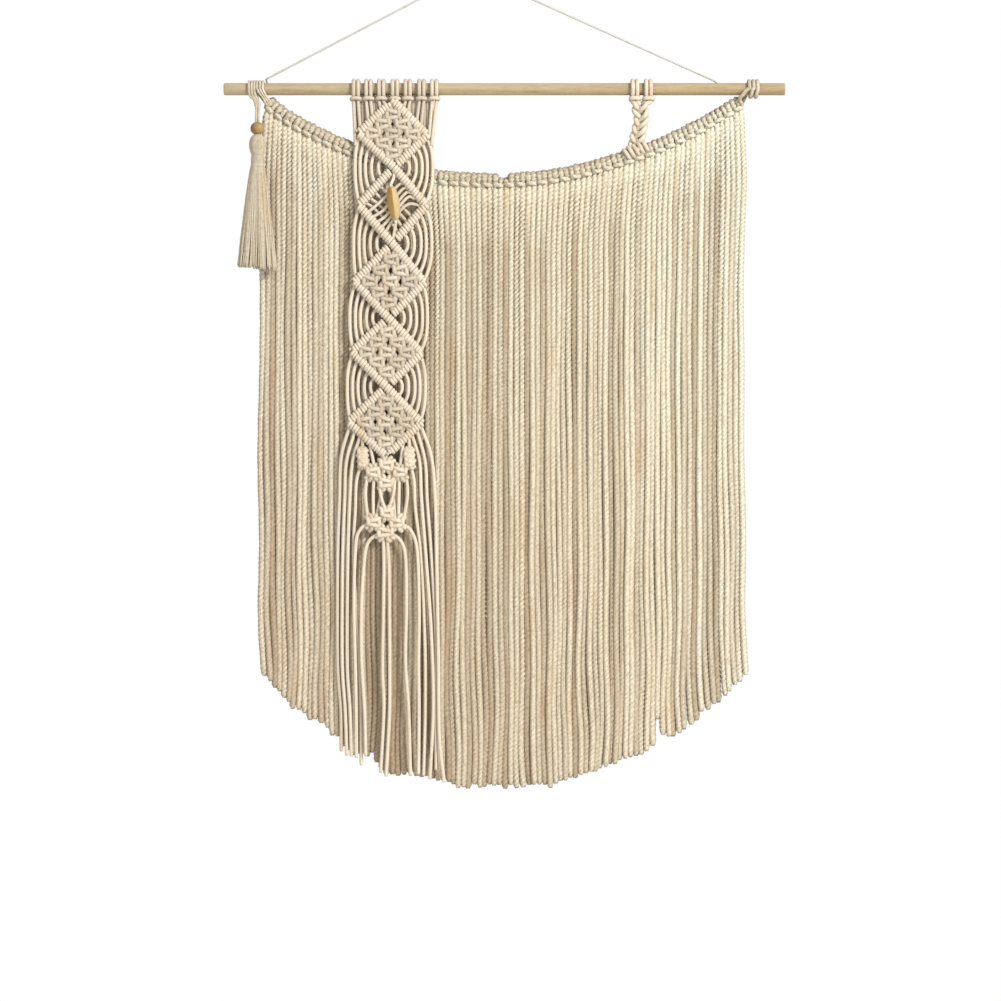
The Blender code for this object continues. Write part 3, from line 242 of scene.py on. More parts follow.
# Tassel: head and neck, by rings of a distance down, a half width and a half depth
TASSEL_ACROSS, TASSEL_FRONT, TASSEL_SHIFT = 257.9, 7.6, 0.2
TASSEL_RINGS = [
    (134.6, 2.2, 2), (138, 7.2, 5.8), (145, 8.7, 6.8), (152, 7.8, 6.2), (157, 6.6, 5.6), (159.5, 7.2, 6.1),
    (162, 6.6, 5.6), (164.5, 7.2, 6.1), (168.5, 6.9, 5.9)]
BIND_TURNS, BIND_DOWN, BIND_RUN = 9, 157.2, 8.6
NECK_TOP, NECK_BOTTOM = 155, 166
LOCKS, OUTER_LOCKS = 150, 84
LOCK_DOWNS = (134.6, 137, 140, 145, 151, 157, 162, 167)
LOCK_RADII = [(134.6, 0.35), (140, 0.62), (157, 0.5), (172, 0.72), (270, 0.98)]
SKIRT_TOP, SKIRT_BOTTOM, SKIRT_SHARES = 167, 270, (0.12, 0.3, 0.5, 0.7, 0.86, 1)


def place(across, down, front=0):
    """The point of the world, in millimetres, of a point in the plan."""
    return np.array((across - NAIL_ACROSS, -front, NAIL_DOWN - down))


def between(a, b, share):
    """The point that lies at a share of the way from a to b."""
    return type(a)(*(p + (q - p) * share for p, q in zip(a, b)))


def read_off(table, across):
    """The second value of a table of pairs at a place between its first values."""
    return float(np.interp(across, *zip(*table)))


def unit(values):
    """The values, held between nought and one."""
    return np.clip(values, 0, 1)


def run_along(path):
    """The length of a path up to each of its points."""
    return np.r_[0, np.cumsum(np.linalg.norm(np.diff(path, axis=0), axis=1))]


def even(line, step):
    """The points of a line at even distances of about a step."""
    run = run_along(line)
    goals = np.linspace(0, run[-1], max(int(round(run[-1] / step)), 1) + 1)
    return np.stack([np.interp(goals, run, line[:, k]) for k in range(3)], axis=1)


def curve(points, step):
    """A smooth curve through the points, at even distances of about a step."""
    p = np.array(points, float)
    q = np.vstack([2 * p[0] - p[1], p, 2 * p[-1] - p[-2]])
    t = np.linspace(0, 1, 16, endpoint=False)[:, None]
    runs = []
    for a, b, c, d in zip(q, q[1:], q[2:], q[3:]):
        bend = (2 * a - 5 * b + 4 * c - d) * t**2 + (3 * b - a - 3 * c + d) * t**3
        runs.append(b + ((c - a) * t + bend) / 2)
    return even(np.vstack([*runs, p[-1:]]), step)


def laid(stops, step):
    """A smooth curve through stops of the plan."""
    return curve([place(*stop) for stop in stops], step)


def directions(path):
    """The direction of a path at each of its points."""
    ahead = np.gradient(path, axis=0)
    return ahead / np.linalg.norm(ahead, axis=1)[:, None]


def frames(path, start):
    """For each point of a path, its side and its up. The side starts near the given one."""
    ahead = directions(path)
    sides = np.empty_like(path)
    side = np.array(start, float)
    for i, t in enumerate(ahead):
        side = side - t * side.dot(t)
        side = side / sqrt(side.dot(side))
        sides[i] = side
    return sides, np.cross(ahead, sides)


def coiled(line, turn, side_reach, up_reach):
    """A path around a line, by how far it has turned at each of its points."""
    side, up = frames(line, (0, -1, 0))
    return line + side * (np.cos(turn) * side_reach)[:, None] + up * (np.sin(turn) * up_reach)[:, None]


def add_piece(name, mesh, material, node_name):
    """One visible piece, which rides on the part's body and stands for a node."""
    ob = bpy.data.objects.new(name, mesh)
    scene.collection.objects.link(ob)
    mesh.materials.append(material)
    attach(ob, "root")
    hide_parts(node_name)
    return ob


# Strands

# A cross-section: the turns and sizes of its points, and the painted shade at each
Shape = namedtuple("Shape", "turns sizes grooves")


def round_shape(count):
    """A round cross-section."""
    return Shape(np.arange(count) / count, np.ones(count), np.zeros(count))


def ply_shape(count, groove):
    """A cross-section of plies: a groove of the given size before each, and its two shoulders, with a painted
    shade that is darkest in the groove.
    """
    turns, sizes, grooves = [], [], []
    for k in range(count):
        for part, size, depth in ((0, groove, 0.5), (0.3, 0.97, 0.04), (0.7, 0.97, 0.04)):
            turns.append((k + part) / count)
            sizes.append(size)
            grooves.append(depth)
    return Shape(*(np.array(x) for x in (turns, sizes, grooves)))


EIGHT, SIX = round_shape(8), round_shape(6)
THREE_PLY, TWO_PLY = ply_shape(3, 0.64), ply_shape(2, 0.72)


class Weave:
    """Collects strands, and makes one piece of them."""

    def __init__(self):
        self.points, self.corners, self.starts, self.uvs, self.tones, self.grooves = [], [], [], [], [], []
        self.vertex_count = self.loop_count = 0

    def strand(self, path, radius, shape=EIGHT, lead=0, tone=0.5, start=FRONT, relief=1, edge=0.4,
               reach=0.75):
        """Sweeps a cross-section along a path. Plies turn once in a lead, and relief scales their depth.

        The side shade paints shade on what faces to the side, where strands shade each other: all of it that
        faces the front by less than a reach.
        """
        n, m = len(path), len(shape.turns)
        side, up = frames(path, start)
        run = run_along(path)
        turn = FULL_TURN * (shape.turns[None, :] + (run[:, None] / lead if lead else 0))
        relief = np.broadcast_to(relief, n)[:, None]
        size = np.broadcast_to(radius, n)[:, None] * (1 + (shape.sizes[None, :] - 1) * relief)
        ring = path[:, None] + (np.cos(turn) * size)[..., None] * side[:, None]
        ring = ring + (np.sin(turn) * size)[..., None] * up[:, None]
        self.points.append(ring.reshape(-1, 3))
        self.add_faces(n, m)
        around = FULL_TURN * float(np.mean(radius)) / m
        low, high = np.arange(m) * around, (np.arange(m) + 1) * around
        u = np.broadcast_to(np.stack([low, high, high, low], axis=-1), (n - 1, m, 4))
        v = np.stack([run[:-1], run[:-1], run[1:], run[1:]], axis=-1)[:, None, :]
        uv = np.stack([u, np.broadcast_to(v, u.shape)], axis=-1).reshape(-1, 2)
        self.uvs += [uv, np.zeros((2 * m, 2))]
        self.tones.append(np.repeat(np.broadcast_to(tone, n), m))
        # Painted shade: darker where the strand faces to the side, and in the plies' groove
        facing = np.abs(np.cos(turn) * side[:, 1:2] + np.sin(turn) * up[:, 1:2])
        painted_side_shade = np.clip(np.broadcast_to(edge, n)[:, None] * (1 - facing / reach), 0, 0.9)
        self.grooves.append(np.maximum(shape.grooves[None, :] * relief, painted_side_shade).reshape(-1))

    def lay(self, stops, step, radius, **more):
        """Sweeps a strand along the smooth curve through stops of the plan."""
        self.strand(laid(stops, step), radius, **more)

    def add_faces(self, n, m):
        """The quads between n rings of m points, and the two ends."""
        k = np.arange(m)
        after = (k + 1) % m
        rows = np.arange(n - 1)[:, None] * m + self.vertex_count
        quads = np.stack([rows + k, rows + after, rows + after + m, rows + k + m], axis=-1).reshape(-1)
        last = self.vertex_count + (n - 1) * m
        self.corners += [quads, self.vertex_count + k[::-1], last + k]
        count = (n - 1) * m
        self.starts.append(self.loop_count + np.r_[np.arange(count) * 4, count * 4, count * 4 + m])
        self.vertex_count += n * m
        self.loop_count += count * 4 + 2 * m

    def make(self, name, material, node_name):
        """One piece of all the strands."""
        mesh = bpy.data.meshes.new(name)
        points = np.concatenate(self.points) / 1000.0
        corners, starts = np.concatenate(self.corners), np.concatenate(self.starts)
        uvs = np.concatenate(self.uvs).astype(np.float32)
        mesh.vertices.add(len(points))
        mesh.vertices.foreach_set("co", points.astype(np.float32).ravel())
        mesh.loops.add(len(corners))
        mesh.loops.foreach_set("vertex_index", corners.astype(np.int32))
        mesh.polygons.add(len(starts))
        mesh.polygons.foreach_set("loop_start", starts.astype(np.int32))
        mesh.update(calc_edges=True)
        mesh.uv_layers.new(name="strand").data.foreach_set("uv", uvs.ravel())
        # The groove attribute holds the painted shade
        for label, values in (("tone", self.tones), ("groove", self.grooves)):
            held = mesh.attributes.new(label, "FLOAT", "POINT")
            held.data.foreach_set("value", np.concatenate(values).astype(np.float32))
        mesh.shade_smooth()
        return add_piece(name, mesh, material, node_name)


# Materials

WHITE = (1.0, 1.0, 1.0)
# Across the cloth its colour is painted light, paler towards the sides and most at the right; up it, paler
# and cooler towards the top
PAINTED_LIGHT_SPAN, CLOTH_RISE = (-0.21, 0.28), (-0.6, -0.3)  # where the cloth's tints change, in metres


def new_material(name, roughness, sheen=0.0):
    """A material with its shader's plain values, its nodes and its shader."""
    made = bpy.data.materials.new(name)
    made.use_nodes = True
    tree = made.node_tree
    shader = tree.nodes["Principled BSDF"]
    for key, value in (("Roughness", roughness), ("Sheen Weight", sheen), ("Sheen Roughness", 0.6),
                       ("Specular IOR Level", 0.25)):
        shader.inputs[key].default_value = value
    return made, tree, shader


def node(tree, kind, links=None, **values):
    """A node with its settings, and its inputs by name: a number, a colour or another node's output."""
    made = tree.nodes.new("ShaderNode" + kind)
    for key, value in values.items():
        setattr(made, key, value)
    for key, value in (links or {}).items():
        if isinstance(value, bpy.types.NodeSocket):
            tree.links.new(value, made.inputs[key])
        else:
            made.inputs[key].default_value = value
    return made


def ramp(tree, fac, stops):
    """A colour ramp over its stops."""
    made = node(tree, "ValToRGB", {"Fac": fac})
    ends = made.color_ramp.elements
    while len(ends) < len(stops):
        ends.new(0.5)
    for end, (position, colour) in zip(ends, stops):
        end.position = position
        end.color = (*colour, 1.0)
    return made.outputs["Color"]


def mixed(tree, share, a, b, blend="MIX"):
    """Two colours mixed by a share."""
    made = node(tree, "Mix", data_type="RGBA", blend_type=blend)
    for socket, value in ((made.inputs[0], share), (made.inputs[6], a), (made.inputs[7], b)):
        if isinstance(value, bpy.types.NodeSocket):
            tree.links.new(value, socket)
        else:
            socket.default_value = value if isinstance(value, float) else (*value, 1.0)
    return made.outputs[2]


def multiplied(tree, colour, *factors, share=1.0):
    """A colour multiplied by others in turn, for a share."""
    for factor in factors:
        colour = mixed(tree, share, colour, factor, "MULTIPLY")
    return colour


def noise(tree, vector, scale, detail, roughness=0.5, distortion=0.0):
    """The grey value of a noise texture."""
    return node(tree, "TexNoise", {"Vector": vector, "Scale": scale, "Detail": detail, "Roughness": roughness,
                                   "Distortion": distortion}).outputs["Fac"]


def stretched(tree, vector, scale):
    """Texture coordinates scaled on each axis."""
    return node(tree, "Mapping", {"Vector": vector, "Scale": scale}).outputs["Vector"]


def share_of(tree, value, low, high):
    """How far a value is between a low and a high one."""
    return node(tree, "MapRange", {"Value": value, "From Min": low, "From Max": high}).outputs["Result"]


def bumped(tree, height, strength, distance, **more):
    """The normal of a surface with a relief."""
    inputs = {"Height": height, "Strength": strength, "Distance": distance, **more}
    return node(tree, "Bump", inputs).outputs["Normal"]


def finished(made, colour, normal):
    """The material with its colour and its relief."""
    shader = made.node_tree.nodes["Principled BSDF"]
    made.node_tree.links.new(colour, shader.inputs["Base Color"])
    made.node_tree.links.new(normal, shader.inputs["Normal"])
    return made


def cotton(name, pale, deep, shade_colour, fibre, depth, specks, sides=(WHITE,) * 3):
    """Cotton strands: each has a tone of its own, fine fibres along it, and a painted shade towards a shade
    colour.

    Specks are the share of its grain, and sides the colour's changes at the left, right and top of the cloth:
    those at the left and right are painted light, paler towards the sides and most at the right.
    """
    made, tree, _ = new_material(name, 0.92, 0.18)
    tone = node(tree, "Attribute", attribute_name="tone").outputs["Fac"]
    groove = node(tree, "Attribute", attribute_name="groove").outputs["Fac"]
    along = node(tree, "UVMap", uv_map="strand").outputs["UV"]
    spot = node(tree, "TexCoord").outputs["Object"]
    hair = noise(tree, stretched(tree, along, (fibre, fibre * 0.16, 1.0)), 1.0, 3.0, roughness=0.6)
    cloud = noise(tree, stretched(tree, spot, (5.0, 5.0, 0.45)), 26.0, 3.0)
    slub = noise(tree, spot, 420.0, 2.0)
    base = ramp(tree, tone, [(0.0, deep), (0.55, pale), (1.0, tuple(min(c * 1.06, 1.0) for c in pale))])
    warm = ramp(tree, cloud, [(0.3, (0.91, 0.84, 0.76)), (0.46, (1.0, 0.99, 0.98)), (0.7, (0.97, 1.0, 1.04))])
    lined = ramp(tree, hair, [(0.3, (0.8, 0.77, 0.71)), (0.62, WHITE)])
    grain = ramp(tree, slub, [(0.36, (0.8, 0.77, 0.72)), (0.52, WHITE), (0.68, (1.1, 1.1, 1.1))])
    axes = node(tree, "SeparateXYZ", {"Vector": spot}).outputs
    # Painted light across the cloth: paler towards its sides, most at the right
    side = share_of(tree, axes["X"], *PAINTED_LIGHT_SPAN)
    painted_light_tint = ramp(tree, side, [(0.0, sides[0]), (0.35, WHITE), (0.7, WHITE), (1.0, sides[1])])
    colour = multiplied(tree, base, warm, lined, painted_light_tint)
    colour = multiplied(tree, colour, sides[2], share=share_of(tree, axes["Z"], *CLOTH_RISE))
    # Painted shade: mixed towards the shade colour by the groove attribute, in the plies' groove and where a
    # strand faces to the side
    colour = mixed(tree, groove, multiplied(tree, colour, grain, share=specks), shade_colour)
    low = bumped(tree, slub, 0.25, 0.0003)
    return finished(made, colour, bumped(tree, hair, depth, 0.0003, Normal=low))


def timber(name, pale, deep, grain, scale, roughness, span, colour_and_light_tints):
    """Wood with its grain along one direction, and colour changes from the left to the right end of a span:
    the rod's own, and painted light on the beads.
    """
    made, tree, shader = new_material(name, roughness)
    spot = node(tree, "TexCoord").outputs["Object"]
    fine = stretched(tree, spot, grain)
    lines = noise(tree, fine, scale, 5.0, roughness=0.62, distortion=0.4)
    pores = noise(tree, fine, scale * 5.0, 3.0)
    cloud = noise(tree, spot, 9.0, 2.0)
    base = ramp(tree, lines, [(0.28, deep), (0.5, pale), (0.74, tuple(c * 1.05 for c in pale))])
    patch = ramp(tree, cloud, [(0.3, (0.93, 0.9, 0.86)), (0.7, WHITE)])
    dots = ramp(tree, pores, [(0.36, (0.86, 0.83, 0.78)), (0.52, WHITE)])
    across = node(tree, "SeparateXYZ", {"Vector": spot}).outputs["X"]
    colour = multiplied(tree, base, patch, dots, ramp(tree, share_of(tree, across, *span), colour_and_light_tints))
    rough = node(tree, "MapRange", {"Value": pores, "To Min": roughness + 0.12, "To Max": roughness - 0.06})
    tree.links.new(rough.outputs["Result"], shader.inputs["Roughness"])
    return finished(made, colour, bumped(tree, lines, 0.12, 0.0004))


# The third colour of each cotton is the colour of its painted shade
rope_cotton = cotton(
    "rope_cotton", (0.575, 0.503, 0.38), (0.375, 0.295, 0.2), (0.18, 0.122, 0.064), fibre=2.2, depth=0.5,
    specks=1.0, sides=((1.02, 1.01, 1.03), (1.065, 1.13, 1.2), (1.02, 1.07, 1.1)))
cord_cotton = cotton(
    "cord_cotton", (0.575, 0.5, 0.393), (0.395, 0.33, 0.25), (0.19, 0.125, 0.074), fibre=3.0, depth=0.35,
    specks=0.3)
tassel_cotton = cotton(
    "tassel_cotton", (0.455, 0.393, 0.298), (0.37, 0.31, 0.222), (0.18, 0.135, 0.085), fibre=4.0, depth=0.4,
    specks=0.7)
twine_cotton = cotton(
    "twine_cotton", (0.46, 0.445, 0.41), (0.38, 0.365, 0.33), (0.24, 0.23, 0.205), fibre=3.0, depth=0.4,
    specks=0.0)
rod_timber = timber(
    "rod_timber", (0.348, 0.285, 0.178), (0.257, 0.199, 0.121), (0.07, 1.0, 1.0), 300.0, 0.55, (-0.25, 0.31),
    [(0.0, (1.0, 1.0, 1.04)), (0.4, (1.05, 1.03, 1.02)), (1.0, (0.9, 0.835, 0.765))])
# The round bead runs from a painted shade at its left to a painted highlight at its right
bead_timber = timber(
    "bead_timber", (0.258, 0.165, 0.072), (0.178, 0.106, 0.042), (1.0, 1.0, 0.12), 260.0, 0.42,
    (-0.2211, -0.2071), [(0.0, (0.55, 0.5, 0.42)), (0.45, (0.98, 0.96, 0.94)), (1.0, (1.12, 1.16, 1.2))])
# The leaf bead's left facet has a painted shade, darker and more orange than its right one
leaf_timber = timber(
    "leaf_timber", (0.405, 0.306, 0.149), (0.29, 0.205, 0.093), (1.0, 1.0, 0.1), 260.0, 0.42,
    (-0.084, -0.0715), [(0.0, (1.03, 0.8, 0.49)), (0.45, (1.04, 0.86, 0.58)), (0.5, WHITE)])


# Camera: from 3.5 m, a width of 1.001 m in the plan fills the picture

VIEW_DISTANCE, VIEW_WIDTH = 3.5, 1.001
lens = bpy.data.cameras.new("camera")
lens.sensor_width = 36
lens.lens = lens.sensor_width * VIEW_DISTANCE / VIEW_WIDTH
camera = bpy.data.objects.new("camera", lens)
camera.location = (0.0291, -VIEW_DISTANCE, -0.5285)
camera.rotation_euler = (radians(90), 0, 0)
scene.collection.objects.link(camera)
scene.camera = camera


# Hanging twine


def twine():
    """The taut twine of two plies, and its knots behind the rod."""
    route = [place(*p) for p in TWINE_ROUTE]
    path = even(np.array(route), 0.9)
    weave = Weave()
    weave.strand(path, TWINE_RADIUS, TWO_PLY, TWINE_LEAD, 0.55, relief=0.6, edge=0.25)
    ob = weave.make("twine", twine_cotton, "hanging_twine")
    turn = np.linspace(0, FULL_TURN, 61)
    knot = np.stack([np.sin(turn) + 2 * np.sin(2 * turn), np.cos(turn) - 2 * np.cos(2 * turn),
                     -np.sin(3 * turn) * 1.2], axis=1)
    for name, end in (("twine_knot_left", route[0]), ("twine_knot_right", route[-1])):
        ball = Weave()
        ball.strand(end + KNOT_BELOW_END + knot * 0.42, 0.85, TWO_PLY, 3.6, 0.55, (0, 0.2, 1))
        ball.make(name + "_tied", twine_cotton, name)


# Swag


def swing(wave, down, start):
    """How far a wave swings at a place down a rope, by where it starts."""
    reach, run, width = wave
    return reach * sin(down / run + start / width)


def hanging_stops(hang, top, tip, ahead_of, drift, phases):
    """The stops of a rope of the fringe, from its tip up to the bar."""
    stops = []
    for share in ROPE_SHARES:
        down = top + FRINGE_SPREAD + (tip - top - FRINGE_SPREAD) * share
        grown = min(1, share * 4)
        sway = swing(SLOW_WAVE, down, hang) * share + drift * grown
        sway -= PULL * grown * (1 - share**2) * max(0, (hang - PULL_LEFT) / PULL_WIDTH)
        sway += grown * (swing(OWN_WAVE, down, phases[0]) + swing(CLOTH_WAVE, down, hang))
        sway += share**3 * (swing(OWN_TIP_WAVE, down, phases[2]) + swing(TIP_WAVE, down, hang))
        depth = ahead_of * (0.25 + 0.75 * grown) + grown * swing(DEPTH_WAVE, down, phases[1])
        stops.append(place(hang + sway, down, FRINGE_FRONT + depth))
    return stops


def rope_pair(weave, pair, at, rng):
    """A lark's head on the bar, with its two ropes."""
    step = 4 * pair + 2

    def head_stop(side, along, height, lean, front):
        """A stop of the lark's head at one side of its middle."""
        return at(step, side * along, height + side * lean, HOLD_FRONT + front)

    halves, tones, radii = [], [], []
    turned_back = rng.choice((0, 0, 1))
    for side in (-1, 1):
        index = 2 * pair + (side > 0)
        hang = FRINGE_LEFT + (FRINGE_RIGHT - FRINGE_LEFT) * index / (PAIRS * 2 - 1)
        tip = read_off(FRINGE_TIPS, hang) + rng.uniform(-TIP_SPREAD, TIP_SPREAD)
        ahead_of = rng.uniform(*(SET_BACK if index % 2 == turned_back else SET_AHEAD))
        # Painted shade: a rope set back is darker by its depth, one set ahead paler, and one behind the
        # column darker for its shadow
        shaded = SHADE if SHADED_LEFT < hang < SHADED_RIGHT else 0
        tones.append(min(max(0.45 + 0.16 * ahead_of + rng.uniform(-0.45, 0.45) - shaded, 0), 1))
        radii.append(ROPE_RADIUS + BACK_SWELL * max(0, -ahead_of))
        drift = rng.uniform(-0.35, 0.35)
        phases = [rng.uniform(0, 6.28) for _ in range(3)]
        foot = head_stop(side, *HEAD_FOOT) - (0, 0, HEAD_FOOT_DROP)
        bare = BARE_LEFT < at(step, 0, 0, 0)[0] + NAIL_ACROSS + side * HEAD_FOOT[0] < BARE_RIGHT
        hanging = hanging_stops(hang, NAIL_DOWN - foot[2], tip, ahead_of, drift, phases)
        head = HEAD_START + (HEAD_LOW if bare else HEAD_OVER) + HEAD_END
        halves.append([*hanging, foot, *(head_stop(side, *stop) for stop in head)])
    crown = head_stop(0, *HEAD_CROWN)
    path = curve([*halves[0], crown, *halves[1][::-1]], 2.25)
    drop = np.abs(path[:, 2] - crown[2])
    low = unit(drop / 5 - 0.4)
    first = np.linspace(0, 1, len(path)) < 0.5
    radius = HEAD_ROPE_RADIUS + (np.where(first, *radii) - HEAD_ROPE_RADIUS) * low
    radius = radius + FOOT_SWELL * unit(1.5 - np.abs(drop - 10) / 10) * low
    for k, share in enumerate(TIP_TAPER):
        radius[[k, -1 - k]] *= share
    start = (0.3 * rng.random(), -1, 0.1)
    # The random tone and the painted shade fade out towards the head, where the tone is 1
    tone = 1 + (np.where(first, *tones) - 1) * unit(drop / 60 - 0.1)
    lead = ROPE_LEAD * rng.uniform(0.93, 1.07)
    relief = 0.5 + 0.3 * low * np.clip(drop / 25, 0.4, 1) - 0.3 * unit(drop / 200 - 0.2)
    relief = relief * rng.uniform(0.7, 1.2)
    weave.strand(path, radius, THREE_PLY, lead, tone, start, relief, edge=0.35 + 0.85 * low, reach=0.96)


def swag():
    """The lark's heads on their holding cord, each with its two ropes, and the corner cords."""
    rng = random.Random(11)
    line = laid(SWAG_LINE, 0.5)
    line = even(line, run_along(line)[-1] / (PAIRS * 4))
    ahead = directions(line)

    def at(step, along, height, front):
        """A point by its distances along the bar from one of its steps, above its line and in front of it."""
        a = ahead[step]
        return line[step] + a * along + np.array((-a[2], 0, a[0])) * height - (0, front, 0)

    for number, group in enumerate(SWAG_GROUPS):
        weave = Weave()
        for pair in group:
            rope_pair(weave, pair, at, rng)
        if number == 0:
            hold = [at(step, 0, HOLD_HEIGHT, HOLD_FRONT) for step in range(0, PAIRS * 4 + 1, 4)]
            weave.strand(curve(hold, 3), HOLD_RADIUS, tone=0.3)
            left_corner(weave)
            right_corner(weave)
        weave.make("swag_ropes_%d" % (number + 1), rope_cotton, "swag")


def wrap(weave, across, radius, behind, ahead, tone, edge, axis_gap=None):
    """A cord over the rod from its back to its front, between two runs of stops below it."""
    reach = ROD_RADIUS + ROD_GAP + (axis_gap or radius)
    turn = []
    for angle in np.linspace(0, pi, 9):
        turn.append((across, ROD_DOWN - reach * sin(angle), -reach * cos(angle)))
    weave.lay([*behind, *turn, *ahead], 0.8, radius, tone=tone, start=(1, 0, 0), edge=edge)


def left_corner(weave):
    """Three cords over the rod that hold the left end of the swag."""
    end_across, end_down = SWAG_LINE[0]
    for k, across in enumerate(LEFT_WRAPS):
        low = end_across + 1.6 + (k - 1) * 1.6
        down = end_down + 1.2 - (k - 1) * 2
        lean = (low - across) * 0.22
        ahead = [(across + lean, 93.4, 6.4), (across + lean * 2.4, 97.4, 4.6), (low, down + 1, 0.6)]
        behind = [(low, down, -4), (across + lean, 95, -6.8)]
        wrap(weave, across, THIN_WRAP, behind, ahead, 0.2 + 0.1 * k, 0.7)


def right_corner(weave):
    """Three cords wrapped around the rod, the first of which holds the right end of the swag."""
    end = SWAG_LINE[-1][0]
    lines = [
        ([(end + 0.6, 104, -4.6), (744.6, 98, -6.4)],
         [(745.6, 91.4, 8.2), (742.4, 95.4, 7.2), (739.4, 99.4, 4.2), (end + 1.4, 105, 0.4)]),
        ([(751.6, 96.4, -3)], [(752.2, 90.8, 8.3), (750.6, 95.4, 5.8), (750, 97.4, 0.6)]),
        ([(756.4, 96.4, -3)], [(757, 90.8, 8.3), (755.8, 95.4, 5.8), (755.4, 97.4, 0.6)]),
    ]
    for k, (across, (behind, ahead)) in enumerate(zip(RIGHT_WRAPS, lines)):
        wrap(weave, across, THICK_WRAP, behind, ahead, 0.08 * k, 0.8, 1.9)


# Knotted column


def rod_head(weave, across, front, ends, radius, tone, high_radius=HEAD_CORD_RADIUS):
    """One lark's head on the rod: two cords over it, the bight in front, and their ends below."""
    halves = []
    reach = ROD_RADIUS + ROD_GAP + high_radius
    for side, end in zip((-1, 1), ends):
        leg = across + side * HEAD_SPREAD
        stops = [(leg, HEAD_DOWN, front - 1.6), (leg, 98.6, front - 2.4), (leg, 94.6, front - 0.2)]
        for turn in np.radians((8, 45, 80, 115, 150, 180)):
            stops.append((leg, ROD_DOWN - reach * sin(turn), reach * cos(turn)))
        stops += [(leg + side * 0.7, 96, -5.4), (leg + side * 1.6, 99.2, -1.2)]
        stops += [(across + side * 4.1, 100.2, front - 3.6), (across + side * 4.2, 99.4, front - 0.2),
                  (across + side * 2.3, 99, front + 1.5)]
        halves.append([*end, *(place(*stop) for stop in stops)])
    crown = place(across, 98.9, front + 1.7)
    path = curve([*halves[0], crown, *halves[1][::-1]], 0.9)
    high = unit((path[:, 2] - NAIL_DOWN + 103) / 5)
    weave.strand(path, radius + (high_radius - radius) * high, tone=tone, edge=0.6)


def plain_tone(rng):
    """The tone of one of the column's plain cords."""
    return 0.45 + 0.4 * rng.random()


def hitches(weave, stops, hand, rng):
    """A row of hitches through stops: a coil around a line, closed up, with its turns a little uneven."""
    tone = 0.55 + 0.2 * rng.random()
    points = [stops[0]]
    for a, b in zip(stops, stops[1:]):
        points += [between(a, b, 0.33), between(a, b, 0.67), b]
    line = laid(points, 0.21)
    run = run_along(line)
    phase = rng.uniform(0, 6.28)
    turn = hand * FULL_TURN * (run / HITCH_PITCH + 0.05 * np.sin(run * 0.9 + phase)) + phase
    swell = 1 + 0.04 * np.sin(run * 0.7 + 2 * phase)
    weave.strand(coiled(line, turn, HITCH_SIDE * swell, HITCH_UP * swell), HITCH_RADIUS, tone=tone)


def hitch_bars(weave, rng):
    """All rows of hitches. Those that lean like a backslash pass over the others whole."""
    lefts = [Stop(*corner, COLUMN_FRONT) for corner in LEFT_CORNERS]
    rights = [Stop(*corner, COLUMN_FRONT) for corner in RIGHT_CORNERS]
    for index, crossing in enumerate(CROSSINGS):
        above, below = slice(max(index - 1, 0), index), slice(index, index + 1)
        hitches(weave, [*lefts[above], Stop(*crossing, COLUMN_FRONT + OVER_LIFT), *rights[below]], 1, rng)
        for corner in rights[above] + lefts[below]:
            end = Stop(*between(crossing, corner, UNDER_START), COLUMN_FRONT + UNDER_LIFT)
            hitches(weave, sorted((corner, end), key=lambda stop: -stop.across), -1, rng)


def square_knot(weave, across, down, front, wide, tall, rng, base=0.5):
    """One square knot of four cords about its middle, a little uneven, either way round."""
    tone = base + 0.3 * rng.random()
    turn, hand = rng.uniform(-KNOT_LEAN, KNOT_LEAN), rng.choice((-1, 1))
    cords = ((KNOT_FRONT_CORD, hand, 0.15), (KNOT_BACK_CORD, hand, 0), (KNOT_CORE_CORD, 1, -0.2),
             (KNOT_CORE_CORD, -1, -0.2))
    for stops, flip, shift in cords:
        path = []
        for x, y, z in stops:
            x, y = flip * x * wide, y * tall
            path.append((across + x - y * turn, down + y + x * turn, front + z))
        weave.lay(path, 0.9, KNOT_CORD_RADIUS, tone=tone + shift, edge=0.55)


def knot_fields(weave, rng):
    """Nine square knots in each diamond but the one with the bead."""
    for index, (left, right) in enumerate(zip(LEFT_CORNERS, RIGHT_CORNERS)):
        if index == BEAD_DIAMOND:
            continue
        corners = CROSSINGS[index], left, CROSSINGS[index + 1], right
        middle = Spot(*(sum(values) / 4 for values in zip(*corners)))
        top, left, bottom, right = (between(middle, corner, FIELD_SHARE) for corner in corners)
        for u in (1, 3, 5):
            for v in (1, 3, 5):
                spot = between(between(top, left, u / 6), between(right, bottom, u / 6), v / 6)
                front = COLUMN_FRONT - 0.4 + 0.25 * ((u + v) % 4 == 0)
                square_knot(weave, *spot, front, FIELD_WIDE, FIELD_TALL, rng, 0)


def bow_cords(weave, rng):
    """The cords that bow out on both sides of the crossings between two diamonds."""
    for index, crossing in enumerate(CROSSINGS[1:-1]):
        for side, corners in ((-1, LEFT_CORNERS), (1, RIGHT_CORNERS)):
            for aside, leave in BOWS:
                upper = between(corners[index], crossing, leave)
                lower = between(corners[index + 1], crossing, leave)
                reach = crossing.across + side * (aside + rng.uniform(-0.4, 0.4))
                stops = []
                for k in range(BOW_STOPS):
                    down = upper.down + (lower.down - upper.down) * k / (BOW_STOPS - 1)
                    end = upper if k <= BOW_STOPS // 2 else lower
                    far = abs(down - crossing.down) / abs(end.down - crossing.down)
                    across = reach + (end.across - reach) * far**BOW_ROUNDNESS
                    stops.append((across, down, COLUMN_FRONT - 1.2 - 1.2 * far))
                weave.lay(stops, 1.2, CORD_RADIUS, tone=plain_tone(rng))


